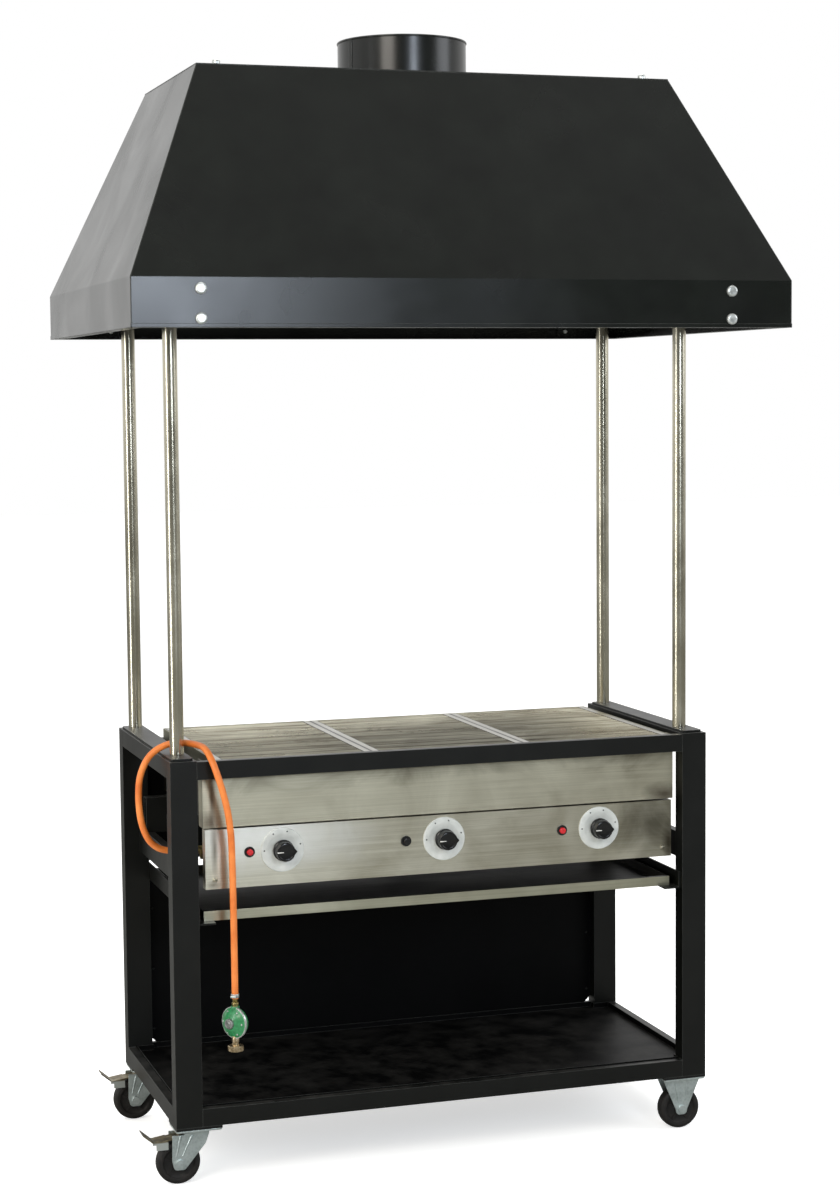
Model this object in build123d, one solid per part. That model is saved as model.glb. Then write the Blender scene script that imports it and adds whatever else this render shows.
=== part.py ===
import math
import os

from build123d import *

# Mobile gas charbroiler: a wheeled steel-tube cart that carries a three-bay
# stainless grill unit, with an extraction hood on four posts above it.
# Millimetres. The origin is on the floor under the cart's centre, +Z is up,
# +X is to the right of the person who cooks and -Y is their side.

# ---------------------------------------------------------------- cart frame
CART_WIDTH = 1286
CART_DEPTH = 594
LEG_BOTTOM = 135
LEG_LENGTH = 824
LEG_WIDTH = 60
LEG_DEPTH = 40
TUBE_WALL = 2
RAIL_HEIGHT = 40
RAIL_DEPTH = 20
FRONT_RAIL_DROP = 2
REAR_RAIL_DROP = 29
MID_RAIL_BOTTOM = 660
MID_RAIL_HEIGHT = 60
MID_RAIL_INSET = 38
BEARER_DEPTH = 30
BEARER_Y = (-100, 170)
PLATE_INSET = 5

# ---------------------------------------------------------------- hood
HOOD_WIDTH = 1506
HOOD_DEPTH = 1026
HOOD_BOTTOM = 1902
HOOD_RIM_HEIGHT = 105
HOOD_TOP = 2477
ROOF_WIDTH = 1108
ROOF_DEPTH = 555
HOOD_SHEET = 2
HOOD_LIP = 25
DUCT_RADIUS = 150
DUCT_HEIGHT = 100
DUCT_FLANGE = 20
POST_RADIUS = 16
POST_WALL = 1.5
POST_X = 610
POST_Y_FRONT = -216
POST_Y_REAR = 259
SEAT_WIDTH = 50
SEAT_THICK = 5
END_PLATE_Z = (HOOD_BOTTOM + 7, HOOD_BOTTOM + 94)
END_PLATE_THICK = 6
SUPPORT_BAR_Z = (HOOD_BOTTOM + 30, HOOD_BOTTOM + 90)
BOLT_X = 605
BOLT_Z = (HOOD_BOTTOM + 19, HOOD_BOTTOM + 81)
BOLT_RADIUS = 5
BOLT_HEAD_RADIUS = 12.5
STUD_X = 502
STUD_Y = 245
STUD_RADIUS = 9
STUD_HEIGHT = 14

# ---------------------------------------------------------------- grill unit
SHEET = 1.5
UNIT_FRONT = -276
UNIT_HALF_WIDTH = 567
PANEL_HALF_WIDTH = 563
FIREBOX_LEFT = -539
FIREBOX_RIGHT = 562
FIREBOX_REAR = 273
FIREBOX_BOTTOM = 804
FIREBOX_TOP = 955
PANEL_BOTTOM = 666
PANEL_GAP = 4
PANEL_RETURN = 25
FASCIA_RETURN = 40
CONTROL_HEIGHT = 745
TAP_X = (-386, -4, 378)
BUTTON_X = (-462, -95, 286)
BUTTON_RADIUS = 7
IGNITER_RADIUS = 9
SIDES = ("left", "middle", "right")
DIAL_RADIUS = 50
KNOB_RADIUS = 24
SPINDLE_RADIUS = 4
RUNNING_GAP = 0.05
MANIFOLD_RADIUS = 11
MANIFOLD_Y = -214
MANIFOLD_Z = 735
GRATE_PITCH = 13
GRATE_HEIGHT = 30
GRATE_SIDE_BAR = 18
ROD_RADIUS = 4

# ---------------------------------------------------------------- tray, shelf
TRAY_FRONT = -261
TRAY_REAR = 262
TRAY_HALF_WIDTH = 565
TRAY_BOTTOM = 592
TRAY_HEIGHT = 22
RUNNER_SIZE = 40
RUNNER_THICK = 4
RUNNER_INSET = 12
SHELF_LEVEL = 165
BACK_PANEL_TOP = 588
REAR_SHEET_BOTTOM = 632
REAR_SHEET_LAP = 15

# ---------------------------------------------------------------- castors
FOOT_LENGTH = 105
FOOT_DEPTH = 85
FOOT_THICK = 6
CASTOR_PLATE_THICK = 4
WHEEL_RADIUS = 50
WHEEL_WIDTH = 32
AXLE_RADIUS = 6
CASTOR_TRAIL = 42
CHEEK_THICK = 3
CHEEK_GAP = 38
KINGPIN_RADIUS = 6
PEDAL_PIN = 3
PEDAL_PIVOT_TRAIL = 38
PEDAL_PIVOT_Z = 107

# ---------------------------------------------------------------- gas hose
HOSE_RADIUS = 7.5
HOSE_ROUTE = [
    (-580, -160, 735), (-628, -160, 735), (-665, -163, 758), (-684, -166, 803),
    (-690, -168, 860), (-687, -171, 914), (-665, -176, 962), (-623, -178, 985),
    (-588, -196, 987), (-567, -229, 986), (-560, -278, 985), (-554, -314, 966),
    (-545, -334, 931), (-533, -336, 890), (-520, -332, 835), (-511, -322, 752),
    (-511, -322, 427),
]
REGULATOR_RADIUS = 36
REGULATOR_FACING = (-0.83, -0.557, 0)
BARB_RADIUS = 6
STEM_RADIUS = 8
NUT_RADIUS = 18
NUT_HEIGHT = 13
NUT_THREAD_RADIUS = 10.9
NUT_THREAD_LENGTH = 8

# Worked out from the values above.
HALF_W = CART_WIDTH / 2
HALF_D = CART_DEPTH / 2
LEG_TOP = LEG_BOTTOM + LEG_LENGTH
INNER_X = HALF_W - LEG_WIDTH
INNER_Y = HALF_D - LEG_DEPTH
SEAT_TOP = LEG_TOP + SEAT_THICK
BAY_WIDTH = (FIREBOX_RIGHT - FIREBOX_LEFT) / 3
FOOT_X = HALF_W - FOOT_LENGTH / 2
FOOT_Y = HALF_D - FOOT_DEPTH / 2
PLATE_TOP = LEG_BOTTOM - FOOT_THICK
PLATE_BOTTOM = PLATE_TOP - CASTOR_PLATE_THICK


def block(x0, x1, y0, y1, z0, z1):
    """A box between two corners."""
    size = (x1 - x0, y1 - y0, z1 - z0)
    centre = ((x0 + x1) / 2, (y0 + y1) / 2, (z0 + z1) / 2)
    return Pos(*centre) * Box(*size)


def rod(radius, start, end):
    """A solid cylinder from one point to another."""
    axis = Vector(*end) - Vector(*start)
    seat = Plane(origin=Vector(*start), z_dir=axis.normalized())
    return extrude(seat * Circle(radius), axis.length)


def pipe(outer, inner, start, end):
    """A round tube between two points."""
    axis = Vector(*end) - Vector(*start)
    seat = Plane(origin=Vector(*start), z_dir=axis.normalized())
    return extrude(seat * (Circle(outer) - Circle(inner)), axis.length)


def profile(points, direction, thickness):
    """A flat outline of 3-D points, thickened along a direction."""
    face = make_face(Polyline(*points, close=True))
    return extrude(face, thickness, dir=direction)


def mirror_x(shape):
    """The same shape on the other side."""
    return mirror(shape, about=Plane.YZ)


def save(shapes, node):
    """Write one node: every separate piece stays a solid of its own."""
    solids = []
    for shape in shapes if isinstance(shapes, (list, tuple)) else [shapes]:
        solids += shape.solids()
    whole = solids[0] if len(solids) == 1 else Compound(children=solids)
    export_step(whole, f"parts/{node}.step")


# ================================================================ cart frame
def leg(x0, y0):
    """Rectangular tube, capped at the top, open where the foot plate covers it."""
    outer = block(x0, x0 + LEG_WIDTH, y0, y0 + LEG_DEPTH, LEG_BOTTOM, LEG_TOP)
    x1, y1 = x0 + LEG_WIDTH, y0 + LEG_DEPTH
    wall = TUBE_WALL
    return outer - block(x0 + wall, x1 - wall, y0 + wall, y1 - wall, LEG_BOTTOM - 1, LEG_TOP - wall)


def rail_x(x0, x1, y0, y1, z0, z1):
    """Tube running left to right, butted between its neighbours."""
    bore = block(x0 - 1, x1 + 1, y0 + TUBE_WALL, y1 - TUBE_WALL, z0 + TUBE_WALL, z1 - TUBE_WALL)
    return block(x0, x1, y0, y1, z0, z1) - bore


def rail_y(x0, x1, y0, y1, z0, z1):
    """Tube running front to back."""
    bore = block(x0 + TUBE_WALL, x1 - TUBE_WALL, y0 - 1, y1 + 1, z0 + TUBE_WALL, z1 - TUBE_WALL)
    return block(x0, x1, y0, y1, z0, z1) - bore


def top_rails():
    front_top = LEG_TOP - FRONT_RAIL_DROP
    rear_top = LEG_TOP - REAR_RAIL_DROP
    y_in = HALF_D - RAIL_DEPTH
    front = rail_x(-INNER_X, INNER_X, -HALF_D, -y_in, front_top - RAIL_HEIGHT, front_top)
    rear = rail_x(-INNER_X, INNER_X, y_in, HALF_D, rear_top - RAIL_HEIGHT, rear_top)
    right = rail_y(INNER_X, HALF_W, -INNER_Y, INNER_Y, LEG_TOP - RAIL_HEIGHT, LEG_TOP)
    return [front, rear, right, mirror_x(right)]


def bottom_rails():
    top = LEG_BOTTOM + RAIL_HEIGHT
    front = rail_x(-INNER_X, INNER_X, -HALF_D, -HALF_D + RAIL_DEPTH, LEG_BOTTOM, top)
    rear = rail_x(-INNER_X, INNER_X, HALF_D - RAIL_DEPTH, HALF_D, LEG_BOTTOM, top)
    right = rail_y(HALF_W - RAIL_DEPTH, HALF_W, -INNER_Y, INNER_Y, LEG_BOTTOM, top)
    return [front, rear, right, mirror_x(right)]


def unit_rails():
    """Side and rear rails at mid height, and two cross bearers that the grill unit stands on."""
    top = MID_RAIL_BOTTOM + MID_RAIL_HEIGHT
    x_out = HALF_W - MID_RAIL_INSET
    right = rail_y(x_out - RAIL_DEPTH, x_out, -INNER_Y, INNER_Y, MID_RAIL_BOTTOM, top)
    rear = rail_x(-INNER_X, INNER_X, HALF_D - RAIL_DEPTH, HALF_D, MID_RAIL_BOTTOM, top)
    bearers = []
    for y in BEARER_Y:
        bearers.append(rail_x(-x_out, x_out, y, y + BEARER_DEPTH, top, FIREBOX_BOTTOM))
    return [right, mirror_x(right), rear] + bearers


def seat_plates():
    """Flat bars on the side rails; the posts stand on them."""
    x_out = HALF_W - PLATE_INSET
    y_end = HALF_D - RUNNER_INSET
    bar = block(x_out - SEAT_WIDTH, x_out, -y_end, y_end, LEG_TOP, SEAT_TOP)
    bar = fillet(bar.edges().filter_by(Axis.Z), 8)
    return [bar, mirror_x(bar)]


def foot_plates():
    """Steel pads welded under the legs, one above each castor."""
    pads = []
    for x in (-FOOT_X, FOOT_X):
        for y in (-FOOT_Y, FOOT_Y):
            centre = Pos(x, y, LEG_BOTTOM - FOOT_THICK / 2)
            pads.append(centre * Box(FOOT_LENGTH, FOOT_DEPTH, FOOT_THICK))
    return pads


def tray_runners():
    """Angle bars between the front and rear legs, open at both ends."""
    y_end = HALF_D - RUNNER_INSET
    z_top = TRAY_BOTTOM - RUNNER_THICK + RUNNER_SIZE
    z_low = TRAY_BOTTOM - RUNNER_THICK
    flange = block(INNER_X - RUNNER_SIZE, INNER_X, -y_end, y_end, z_low, TRAY_BOTTOM)
    web = block(INNER_X - RUNNER_THICK, INNER_X, -y_end, y_end, TRAY_BOTTOM, z_top)
    right = flange + web
    return [right, mirror_x(right)]


def shelf_pan():
    """Folded sheet dropped between the bottom rails, notched round the legs, with a raised lip."""
    gap = 1
    lip = 2
    top = LEG_BOTTOM + RAIL_HEIGHT + 3

    def outline(inset, z0, z1):
        margin = gap + inset
        x_long, y_long = HALF_W - RAIL_DEPTH - margin, HALF_D - RAIL_DEPTH - margin
        x_leg, y_leg = INNER_X - margin, INNER_Y - margin
        across = block(-x_long, x_long, -y_leg, y_leg, z0, z1)
        return across + block(-x_leg, x_leg, -y_long, y_long, z0, z1)

    return outline(0, SHELF_LEVEL - lip, top) - outline(lip, SHELF_LEVEL, top + 1)


def back_panel():
    """Two sheets between the rear legs; the drip tray can slide out through the slot between them."""
    z0 = LEG_BOTTOM + RAIL_HEIGHT
    cut = 16
    y = HALF_D - 10
    outline = [
        (-INNER_X + cut, y, z0), (INNER_X - cut, y, z0), (INNER_X, y, z0 + cut),
        (INNER_X, y, BACK_PANEL_TOP), (-INNER_X, y, BACK_PANEL_TOP), (-INNER_X, y, z0 + cut),
    ]
    sheet = profile(outline, (0, 1, 0), 2)
    fold = block(-INNER_X, INNER_X, y - 15, y, BACK_PANEL_TOP - 2, BACK_PANEL_TOP)
    rail_face = HALF_D - RAIL_DEPTH
    rail_bottom = LEG_TOP - REAR_RAIL_DROP - RAIL_HEIGHT
    upper = block(-INNER_X, INNER_X, rail_face - 2, rail_face, REAR_SHEET_BOTTOM, rail_bottom + REAR_SHEET_LAP)
    return [sheet + fold, upper]


def build_cart():
    for side, x0 in (("left", -HALF_W), ("right", INNER_X)):
        save(leg(x0, -HALF_D), f"leg_front_{side}")
        save(leg(x0, INNER_Y), f"leg_rear_{side}")
    save(top_rails(), "top_rails")
    save(bottom_rails(), "bottom_rails")
    save(unit_rails(), "unit_rails")
    save(seat_plates(), "post_seat_plates")
    save(foot_plates(), "foot_plates")
    save(tray_runners(), "tray_runners")
    save(shelf_pan(), "shelf_pan")
    save(back_panel(), "back_panel")


# ================================================================ hood
def frustum(half_x0, half_y0, z0, half_x1, half_y1, z1):
    """Straight-sided solid between two level rectangles."""
    low = Pos(0, 0, z0) * Rectangle(2 * half_x0, 2 * half_y0)
    high = Pos(0, 0, z1) * Rectangle(2 * half_x1, 2 * half_y1)
    return loft([low, high], ruled=True)


def hood_shell():
    """The canopy as one folded skin: vertical rim, four slopes and an inward lip."""
    hx, hy = HOOD_WIDTH / 2, HOOD_DEPTH / 2
    rx, ry = ROOF_WIDTH / 2, ROOF_DEPTH / 2
    rim_top = HOOD_BOTTOM + HOOD_RIM_HEIGHT
    skin_top = HOOD_TOP - HOOD_SHEET
    t = HOOD_SHEET
    outer = block(-hx, hx, -hy, hy, HOOD_BOTTOM, rim_top)
    outer += frustum(hx, hy, rim_top, rx, ry, skin_top)
    inner = block(-hx + t, hx - t, -hy + t, hy - t, HOOD_BOTTOM + t, rim_top)
    inner += frustum(hx - t, hy - t, rim_top, rx - t, ry - t, skin_top)
    mouth_x, mouth_y = hx - HOOD_LIP, hy - HOOD_LIP
    mouth = block(-mouth_x, mouth_x, -mouth_y, mouth_y, HOOD_BOTTOM - 1, rim_top)
    return outer - inner - mouth


def hood_wedge(front):
    """Region between the hood's hips that holds its front (or right) panel."""
    hx, hy = HOOD_WIDTH / 2, HOOD_DEPTH / 2
    rx, ry = ROOF_WIDTH / 2, ROOF_DEPTH / 2
    margin = 30
    rim_top = HOOD_BOTTOM + HOOD_RIM_HEIGHT
    levels = [(HOOD_BOTTOM - 5, hx, hy), (rim_top, hx, hy), (HOOD_TOP, rx, ry)]
    pieces = []
    for (z0, x0, y0), (z1, x1, y1) in zip(levels[:-1], levels[1:]):
        faces = []
        for z, x, y in ((z0, x0, y0), (z1, x1, y1)):
            far_x, far_y = x + margin, y + margin
            if front:
                outline = [(-far_x, -far_y, z), (far_x, -far_y, z), (x - y, 0, z), (y - x, 0, z)]
            else:
                outline = [(far_x, -far_y, z), (far_x, far_y, z), (x - y, 0, z)]
            faces.append(make_face(Polyline(*outline, close=True)))
        pieces.append(loft(faces, ruled=True))
    return pieces[0] + pieces[1]


def bolt_holes():
    """Holes through the rim, front and rear, for the bolts of the support bars."""
    holes = []
    reach = HOOD_DEPTH / 2 + 10
    for x in (-BOLT_X, BOLT_X):
        for z in BOLT_Z:
            holes.append(rod(BOLT_RADIUS, (x, -reach, z), (x, reach, z)))
    return holes


def support_bars():
    """Tubes across the inside of the hood, with bolted end plates; the posts carry them."""
    reach = HOOD_DEPTH / 2 - HOOD_SHEET
    plate = END_PLATE_THICK
    right = rail_y(POST_X - 20, POST_X + 20, -reach + plate, reach - plate, *SUPPORT_BAR_Z)
    for y in (-reach, reach - plate):
        right += block(POST_X - 25, POST_X + 25, y, y + plate, *END_PLATE_Z)
    for z in BOLT_Z:
        for y in (-reach - 1, reach - plate - 1):
            right -= rod(BOLT_RADIUS, (BOLT_X, y, z), (BOLT_X, y + plate + 2, z))
    return [right, mirror_x(right)]


def hood_fixings():
    """Dome-headed bolts through the rim, and four hanging studs with dome nuts on the roof."""
    pieces = []
    for x in (-BOLT_X, BOLT_X):
        for z in BOLT_Z:
            for face in (-1, 1):
                y = face * HOOD_DEPTH / 2
                shank = rod(BOLT_RADIUS, (x, y - face * 12, z), (x, y, z))
                seat = Plane(origin=(x, y, z), z_dir=(0, face, 0))
                head = extrude(seat * Circle(BOLT_HEAD_RADIUS), 7)
                crown = head.faces().sort_by(Axis.Y)[-1 if face > 0 else 0]
                pieces.append(fillet(crown.edges(), 5) + shank)
    for x in (-STUD_X, STUD_X):
        for y in (-STUD_Y, STUD_Y):
            nut = rod(STUD_RADIUS, (x, y, HOOD_TOP), (x, y, HOOD_TOP + STUD_HEIGHT))
            pieces.append(fillet(nut.faces().sort_by(Axis.Z)[-1].edges(), 6))
    return pieces


def build_hood():
    shell = hood_shell()
    for hole in bolt_holes():
        shell -= hole
    front = shell & hood_wedge(True)
    right = shell & hood_wedge(False)
    save(front, "hood_panel_front")
    save(mirror(front, about=Plane.XZ), "hood_panel_rear")
    save(right, "hood_panel_right")
    save(mirror_x(right), "hood_panel_left")
    rx, ry = ROOF_WIDTH / 2, ROOF_DEPTH / 2
    duct_bore = DUCT_RADIUS - HOOD_SHEET
    base = (0, 0, HOOD_TOP)
    roof = block(-rx, rx, -ry, ry, HOOD_TOP - HOOD_SHEET, HOOD_TOP)
    roof -= rod(duct_bore, (0, 0, HOOD_TOP - 5), (0, 0, HOOD_TOP + 5))
    save(roof, "hood_roof")
    collar = pipe(DUCT_RADIUS, duct_bore, base, (0, 0, HOOD_TOP + DUCT_HEIGHT))
    collar += pipe(DUCT_RADIUS + DUCT_FLANGE, duct_bore, base, (0, 0, HOOD_TOP + HOOD_SHEET))
    save(collar, "duct_collar")
    save(support_bars(), "hood_support_bars")
    save(hood_fixings(), "hood_fixings")
    for side, x in (("left", -POST_X), ("right", POST_X)):
        for end, y in (("front", POST_Y_FRONT), ("rear", POST_Y_REAR)):
            foot, head = (x, y, SEAT_TOP), (x, y, SUPPORT_BAR_Z[0])
            save(pipe(POST_RADIUS, POST_RADIUS - POST_WALL, foot, head), f"post_{end}_{side}")


# ================================================================ grill unit
def firebox():
    """Open-bottomed box with a turned-in rim, two partitions and an inner ledge for the grates."""
    x0, x1 = FIREBOX_LEFT, FIREBOX_RIGHT
    y0, y1 = UNIT_FRONT + SHEET, FIREBOX_REAR
    outer = block(x0, x1, y0, y1, FIREBOX_BOTTOM, FIREBOX_TOP)
    inner_y = (y0 + SHEET, y1 - SHEET)
    shell = outer - block(x0 + SHEET, x1 - SHEET, *inner_y, FIREBOX_BOTTOM - 1, FIREBOX_TOP + 1)
    ledge_z = FIREBOX_TOP - GRATE_HEIGHT
    for y in (y0, y1 - 14):
        shell += block(x0, x1, y, y + 14, ledge_z - SHEET, ledge_z)
    for x in (x0, x1 - 12):
        shell += block(x, x + 12, y0, y1, ledge_z - SHEET, ledge_z)
    for bay in (1, 2):
        x = x0 + bay * BAY_WIDTH
        shell += block(x - SHEET / 2, x + SHEET / 2, *inner_y, FIREBOX_BOTTOM, ledge_z)
        shell += block(x - 12, x + 12, y0, y1, ledge_z - SHEET, ledge_z)
    return shell


def upper_fascia():
    """Front sheet of the firebox, with a return at each side."""
    z0, z1 = FIREBOX_BOTTOM, FIREBOX_TOP
    sheet = block(-UNIT_HALF_WIDTH, UNIT_HALF_WIDTH, UNIT_FRONT, UNIT_FRONT + SHEET, z0, z1)
    for x in (-UNIT_HALF_WIDTH, UNIT_HALF_WIDTH - SHEET):
        sheet += block(x, x + SHEET, UNIT_FRONT, UNIT_FRONT + FASCIA_RETURN, z0, z1)
    return sheet


def control_panel():
    """Folded front panel that carries the controls, with returns on all four edges."""
    half = PANEL_HALF_WIDTH
    y0, y1 = UNIT_FRONT, UNIT_FRONT + PANEL_RETURN
    z0, z1 = PANEL_BOTTOM, FIREBOX_BOTTOM - PANEL_GAP
    panel = block(-half, half, y0, y1, z0, z1)
    panel -= block(-half + SHEET, half - SHEET, y0 + SHEET, y1 + 1, z0 + SHEET, z1 - SHEET)
    for x in TAP_X:
        panel -= rod(SPINDLE_RADIUS + 1, (x, y0 - 1, CONTROL_HEIGHT), (x, y0 + 3, CONTROL_HEIGHT))
    for x in BUTTON_X:
        hole_front, hole_back = (x, y0 - 1, CONTROL_HEIGHT), (x, y0 + 3, CONTROL_HEIGHT)
        panel -= rod(IGNITER_RADIUS, hole_front, hole_back)
    return panel


def dial_plates():
    """Printed plastic discs behind the knobs."""
    discs = []
    for x in TAP_X:
        back, face = (x, UNIT_FRONT, CONTROL_HEIGHT), (x, UNIT_FRONT - 2, CONTROL_HEIGHT)
        discs.append(pipe(DIAL_RADIUS, SPINDLE_RADIUS + 1, back, face))
    return discs


def gas_manifold():
    """Brass feed pipe with three tap bodies bored for their spindles."""
    pipe_end = TAP_X[2] + 40
    body = rod(MANIFOLD_RADIUS, (-560, MANIFOLD_Y, MANIFOLD_Z), (pipe_end, MANIFOLD_Y, MANIFOLD_Z))
    for x in TAP_X:
        body += rod(14, (x, UNIT_FRONT + 20, CONTROL_HEIGHT), (x, MANIFOLD_Y + 6, CONTROL_HEIGHT))
        body += rod(6, (x, MANIFOLD_Y, CONTROL_HEIGHT), (x, MANIFOLD_Y + 26, CONTROL_HEIGHT))
    for x in TAP_X:
        mouth = (x, UNIT_FRONT + 19, CONTROL_HEIGHT)
        body -= rod(SPINDLE_RADIUS + RUNNING_GAP, mouth, (x, UNIT_FRONT + 48, CONTROL_HEIGHT))
    return body


def inlet_elbow():
    """Elbow from the feed pipe to the hose tail on the left."""
    y = HOSE_ROUTE[0][1]
    z = MANIFOLD_Z
    stem = rod(7, (-551, MANIFOLD_Y + MANIFOLD_RADIUS, z), (-551, y, z))
    tail = rod(9, (-538, y, z), (HOSE_ROUTE[0][0], y, z))
    return stem + tail


def burners():
    """Straight tube burners, one below the middle of each bay, each with its spark electrode."""
    pieces = []
    for x in TAP_X:
        y0 = UNIT_FRONT + 30
        tube = pipe(19, 17, (x, y0 + 30, 850), (x, 240, 850))
        cap = rod(19, (x, 240, 850), (x, 242, 850))
        for row in range(18):
            y = -200 + row * 24
            tube -= block(x - 12, x + 12, y, y + 2, 862, 872)
        electrode = rod(3, (x + 30, y0, 862), (x + 30, y0 + 60, 862))
        pieces += [tube + cap, electrode]
    return pieces


def flame_spreaders():
    """Folded sheet roofs over the burners, resting on the partition ledges."""
    roofs = []
    for x in TAP_X:
        y0, y1 = UNIT_FRONT + 14, FIREBOX_REAR - 14
        outline = [
            (x - 80, y0, 882), (x, y0, 907), (x + 80, y0, 882),
            (x + 80, y0, 884), (x, y0, 909), (x - 80, y0, 884),
        ]
        roofs.append(profile(outline, (0, 1, 0), y1 - y0))
    return roofs


def igniter_housings():
    """Black bezels with a barrel behind the panel, bored for their buttons."""
    housings = []
    for x in BUTTON_X:
        face, back = UNIT_FRONT - 3, UNIT_FRONT + 34
        z = CONTROL_HEIGHT
        bezel = rod(12, (x, UNIT_FRONT, z), (x, face, z))
        barrel = rod(IGNITER_RADIUS, (x, UNIT_FRONT, z), (x, back, z))
        bore = rod(BUTTON_RADIUS + RUNNING_GAP, (x, face - 1, z), (x, UNIT_FRONT + 20, z))
        housings.append(bezel + barrel - bore)
    return housings


def push_button(x):
    """Cap and plunger, free to sink six millimetres."""
    front = UNIT_FRONT - 10
    cap = rod(BUTTON_RADIUS, (x, UNIT_FRONT + 12, CONTROL_HEIGHT), (x, front, CONTROL_HEIGHT))
    return fillet(cap.faces().sort_by(Axis.Y)[0].edges(), 1.5)


def tap_spindle(x):
    """Shaft from the tap body through the panel into the knob."""
    inner, outer = UNIT_FRONT + 42, UNIT_FRONT - 30
    return rod(SPINDLE_RADIUS, (x, inner, CONTROL_HEIGHT), (x, outer, CONTROL_HEIGHT))


def knob(x):
    """Round knob with a skirt, a raised grip and a pointer nib."""
    z = CONTROL_HEIGHT
    back, face = UNIT_FRONT - 7, UNIT_FRONT - 37
    skirt = rod(KNOB_RADIUS, (x, back, z), (x, back - 8, z))
    body = rod(KNOB_RADIUS - 2.5, (x, back - 8, z), (x, face, z))
    body = fillet(body.faces().sort_by(Axis.Y)[0].edges(), 2.5)
    nib = [(x + 12, back, z - 7), (x + KNOB_RADIUS + 4, back, z), (x + 12, back, z + 7)]
    whole = skirt + body + profile(nib, (0, -1, 0), 24)
    return whole - rod(SPINDLE_RADIUS + RUNNING_GAP, (x, back + 1, z), (x, UNIT_FRONT - 32, z))


def grate(bay):
    """Round rods running left to right between two flat side bars, with two bars underneath."""
    gap = 1
    pitch = BAY_WIDTH - 1.5
    x0 = FIREBOX_LEFT + SHEET + 1.25 + bay * pitch
    x1 = x0 + pitch - gap
    y0, y1 = UNIT_FRONT + SHEET * 2 + 4, FIREBOX_REAR - 6
    bottom = FIREBOX_TOP - GRATE_HEIGHT
    top = FIREBOX_TOP
    bar = GRATE_SIDE_BAR
    rod_z = top - ROD_RADIUS
    pieces = [block(x0, x0 + bar, y0, y1, bottom, top), block(x1 - bar, x1, y0, y1, bottom, top)]
    for share in (1, 2):
        x = x0 + share * (x1 - x0) / 3
        pieces.append(block(x - 3, x + 3, y0, y1, bottom, top - 2 * ROD_RADIUS))
    count = int((y1 - y0 - 2 * ROD_RADIUS) / GRATE_PITCH)
    start = (y0 + y1) / 2 - count * GRATE_PITCH / 2
    for index in range(count + 1):
        y = start + index * GRATE_PITCH
        pieces.append(rod(ROD_RADIUS, (x0 + bar, y, rod_z), (x1 - bar, y, rod_z)))
    return pieces


def drip_tray():
    """Shallow folded tray with a closed front lip."""
    x, z0, z1 = TRAY_HALF_WIDTH, TRAY_BOTTOM, TRAY_BOTTOM + TRAY_HEIGHT
    tray = block(-x, x, TRAY_FRONT, TRAY_REAR, z0, z1)
    y0, y1 = TRAY_FRONT + SHEET, TRAY_REAR - SHEET
    tray -= block(-x + SHEET, x - SHEET, y0, y1, z0 + SHEET, z1 + 1)
    hem = block(-x, x, TRAY_FRONT, TRAY_FRONT + 12, z1 - SHEET, z1)
    return tray + hem


def build_grill():
    save(firebox(), "firebox")
    save(upper_fascia(), "upper_fascia")
    save(control_panel(), "control_panel")
    save(dial_plates(), "dial_plates")
    save(gas_manifold(), "gas_manifold")
    save(inlet_elbow(), "inlet_elbow")
    save(burners(), "burners")
    save(flame_spreaders(), "flame_spreaders")
    save(igniter_housings(), "igniter_housings")
    for index, side in enumerate(SIDES):
        save(push_button(BUTTON_X[index]), f"push_button_{side}")
        save(tap_spindle(TAP_X[index]), f"tap_spindle_{side}")
        save(knob(TAP_X[index]), f"knob_{side}")
        save(grate(index), f"grate_{side}")
    save(drip_tray(), "drip_tray")


# ================================================================ castors
def wheel(x, y):
    """Rubber tyre and hub on one bore."""
    half = WHEEL_WIDTH / 2
    z = WHEEL_RADIUS
    tyre = rod(WHEEL_RADIUS, (x, y - half, z), (x, y + half, z))
    tyre = fillet(tyre.edges().filter_by(GeomType.CIRCLE), 5)
    for face in (-1, 1):
        tyre -= pipe(36, 14, (x, y + face * (half - 4), z), (x, y + face * (half + 1), z))
    tyre += rod(11, (x, y - half - 2, z), (x, y + half + 2, z))
    return tyre - rod(AXLE_RADIUS + RUNNING_GAP, (x, y - 30, z), (x, y + 30, z))


def axle_bolt(x, y):
    """Axle with a head on one side and a nut on the other."""
    reach = CHEEK_GAP / 2 + CHEEK_THICK
    bolt = rod(AXLE_RADIUS, (x, y - reach, WHEEL_RADIUS), (x, y + reach, WHEEL_RADIUS))
    for face in (-1, 1):
        start = (x, y + face * reach, WHEEL_RADIUS)
        bolt += rod(9.5, start, (x, y + face * (reach + 6), WHEEL_RADIUS))
    return bolt


def cheeks(outline, y, hole_x):
    """A pair of pressed side plates on either side of the wheel."""
    pair = []
    for y0 in (y - CHEEK_GAP / 2 - CHEEK_THICK, y + CHEEK_GAP / 2):
        plate = profile([(px, y0, pz) for px, pz in outline], (0, 1, 0), CHEEK_THICK)
        corners = [e for e in plate.edges().filter_by(Axis.Y) if e.center().Z < WHEEL_RADIUS]
        plate = fillet(corners, 9)
        near, far = (hole_x, y0 - 1, WHEEL_RADIUS), (hole_x, y0 + CHEEK_THICK + 1, WHEEL_RADIUS)
        pair.append(plate - rod(AXLE_RADIUS, near, far))
    return pair


def castor_plate(x, y):
    """Zinc-plated top plate with four rounded corners."""
    plate = Box(FOOT_LENGTH, FOOT_DEPTH, CASTOR_PLATE_THICK)
    plate = fillet(plate.edges().filter_by(Axis.Z), 8)
    return Pos(x, y, PLATE_TOP - CASTOR_PLATE_THICK / 2) * plate


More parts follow.
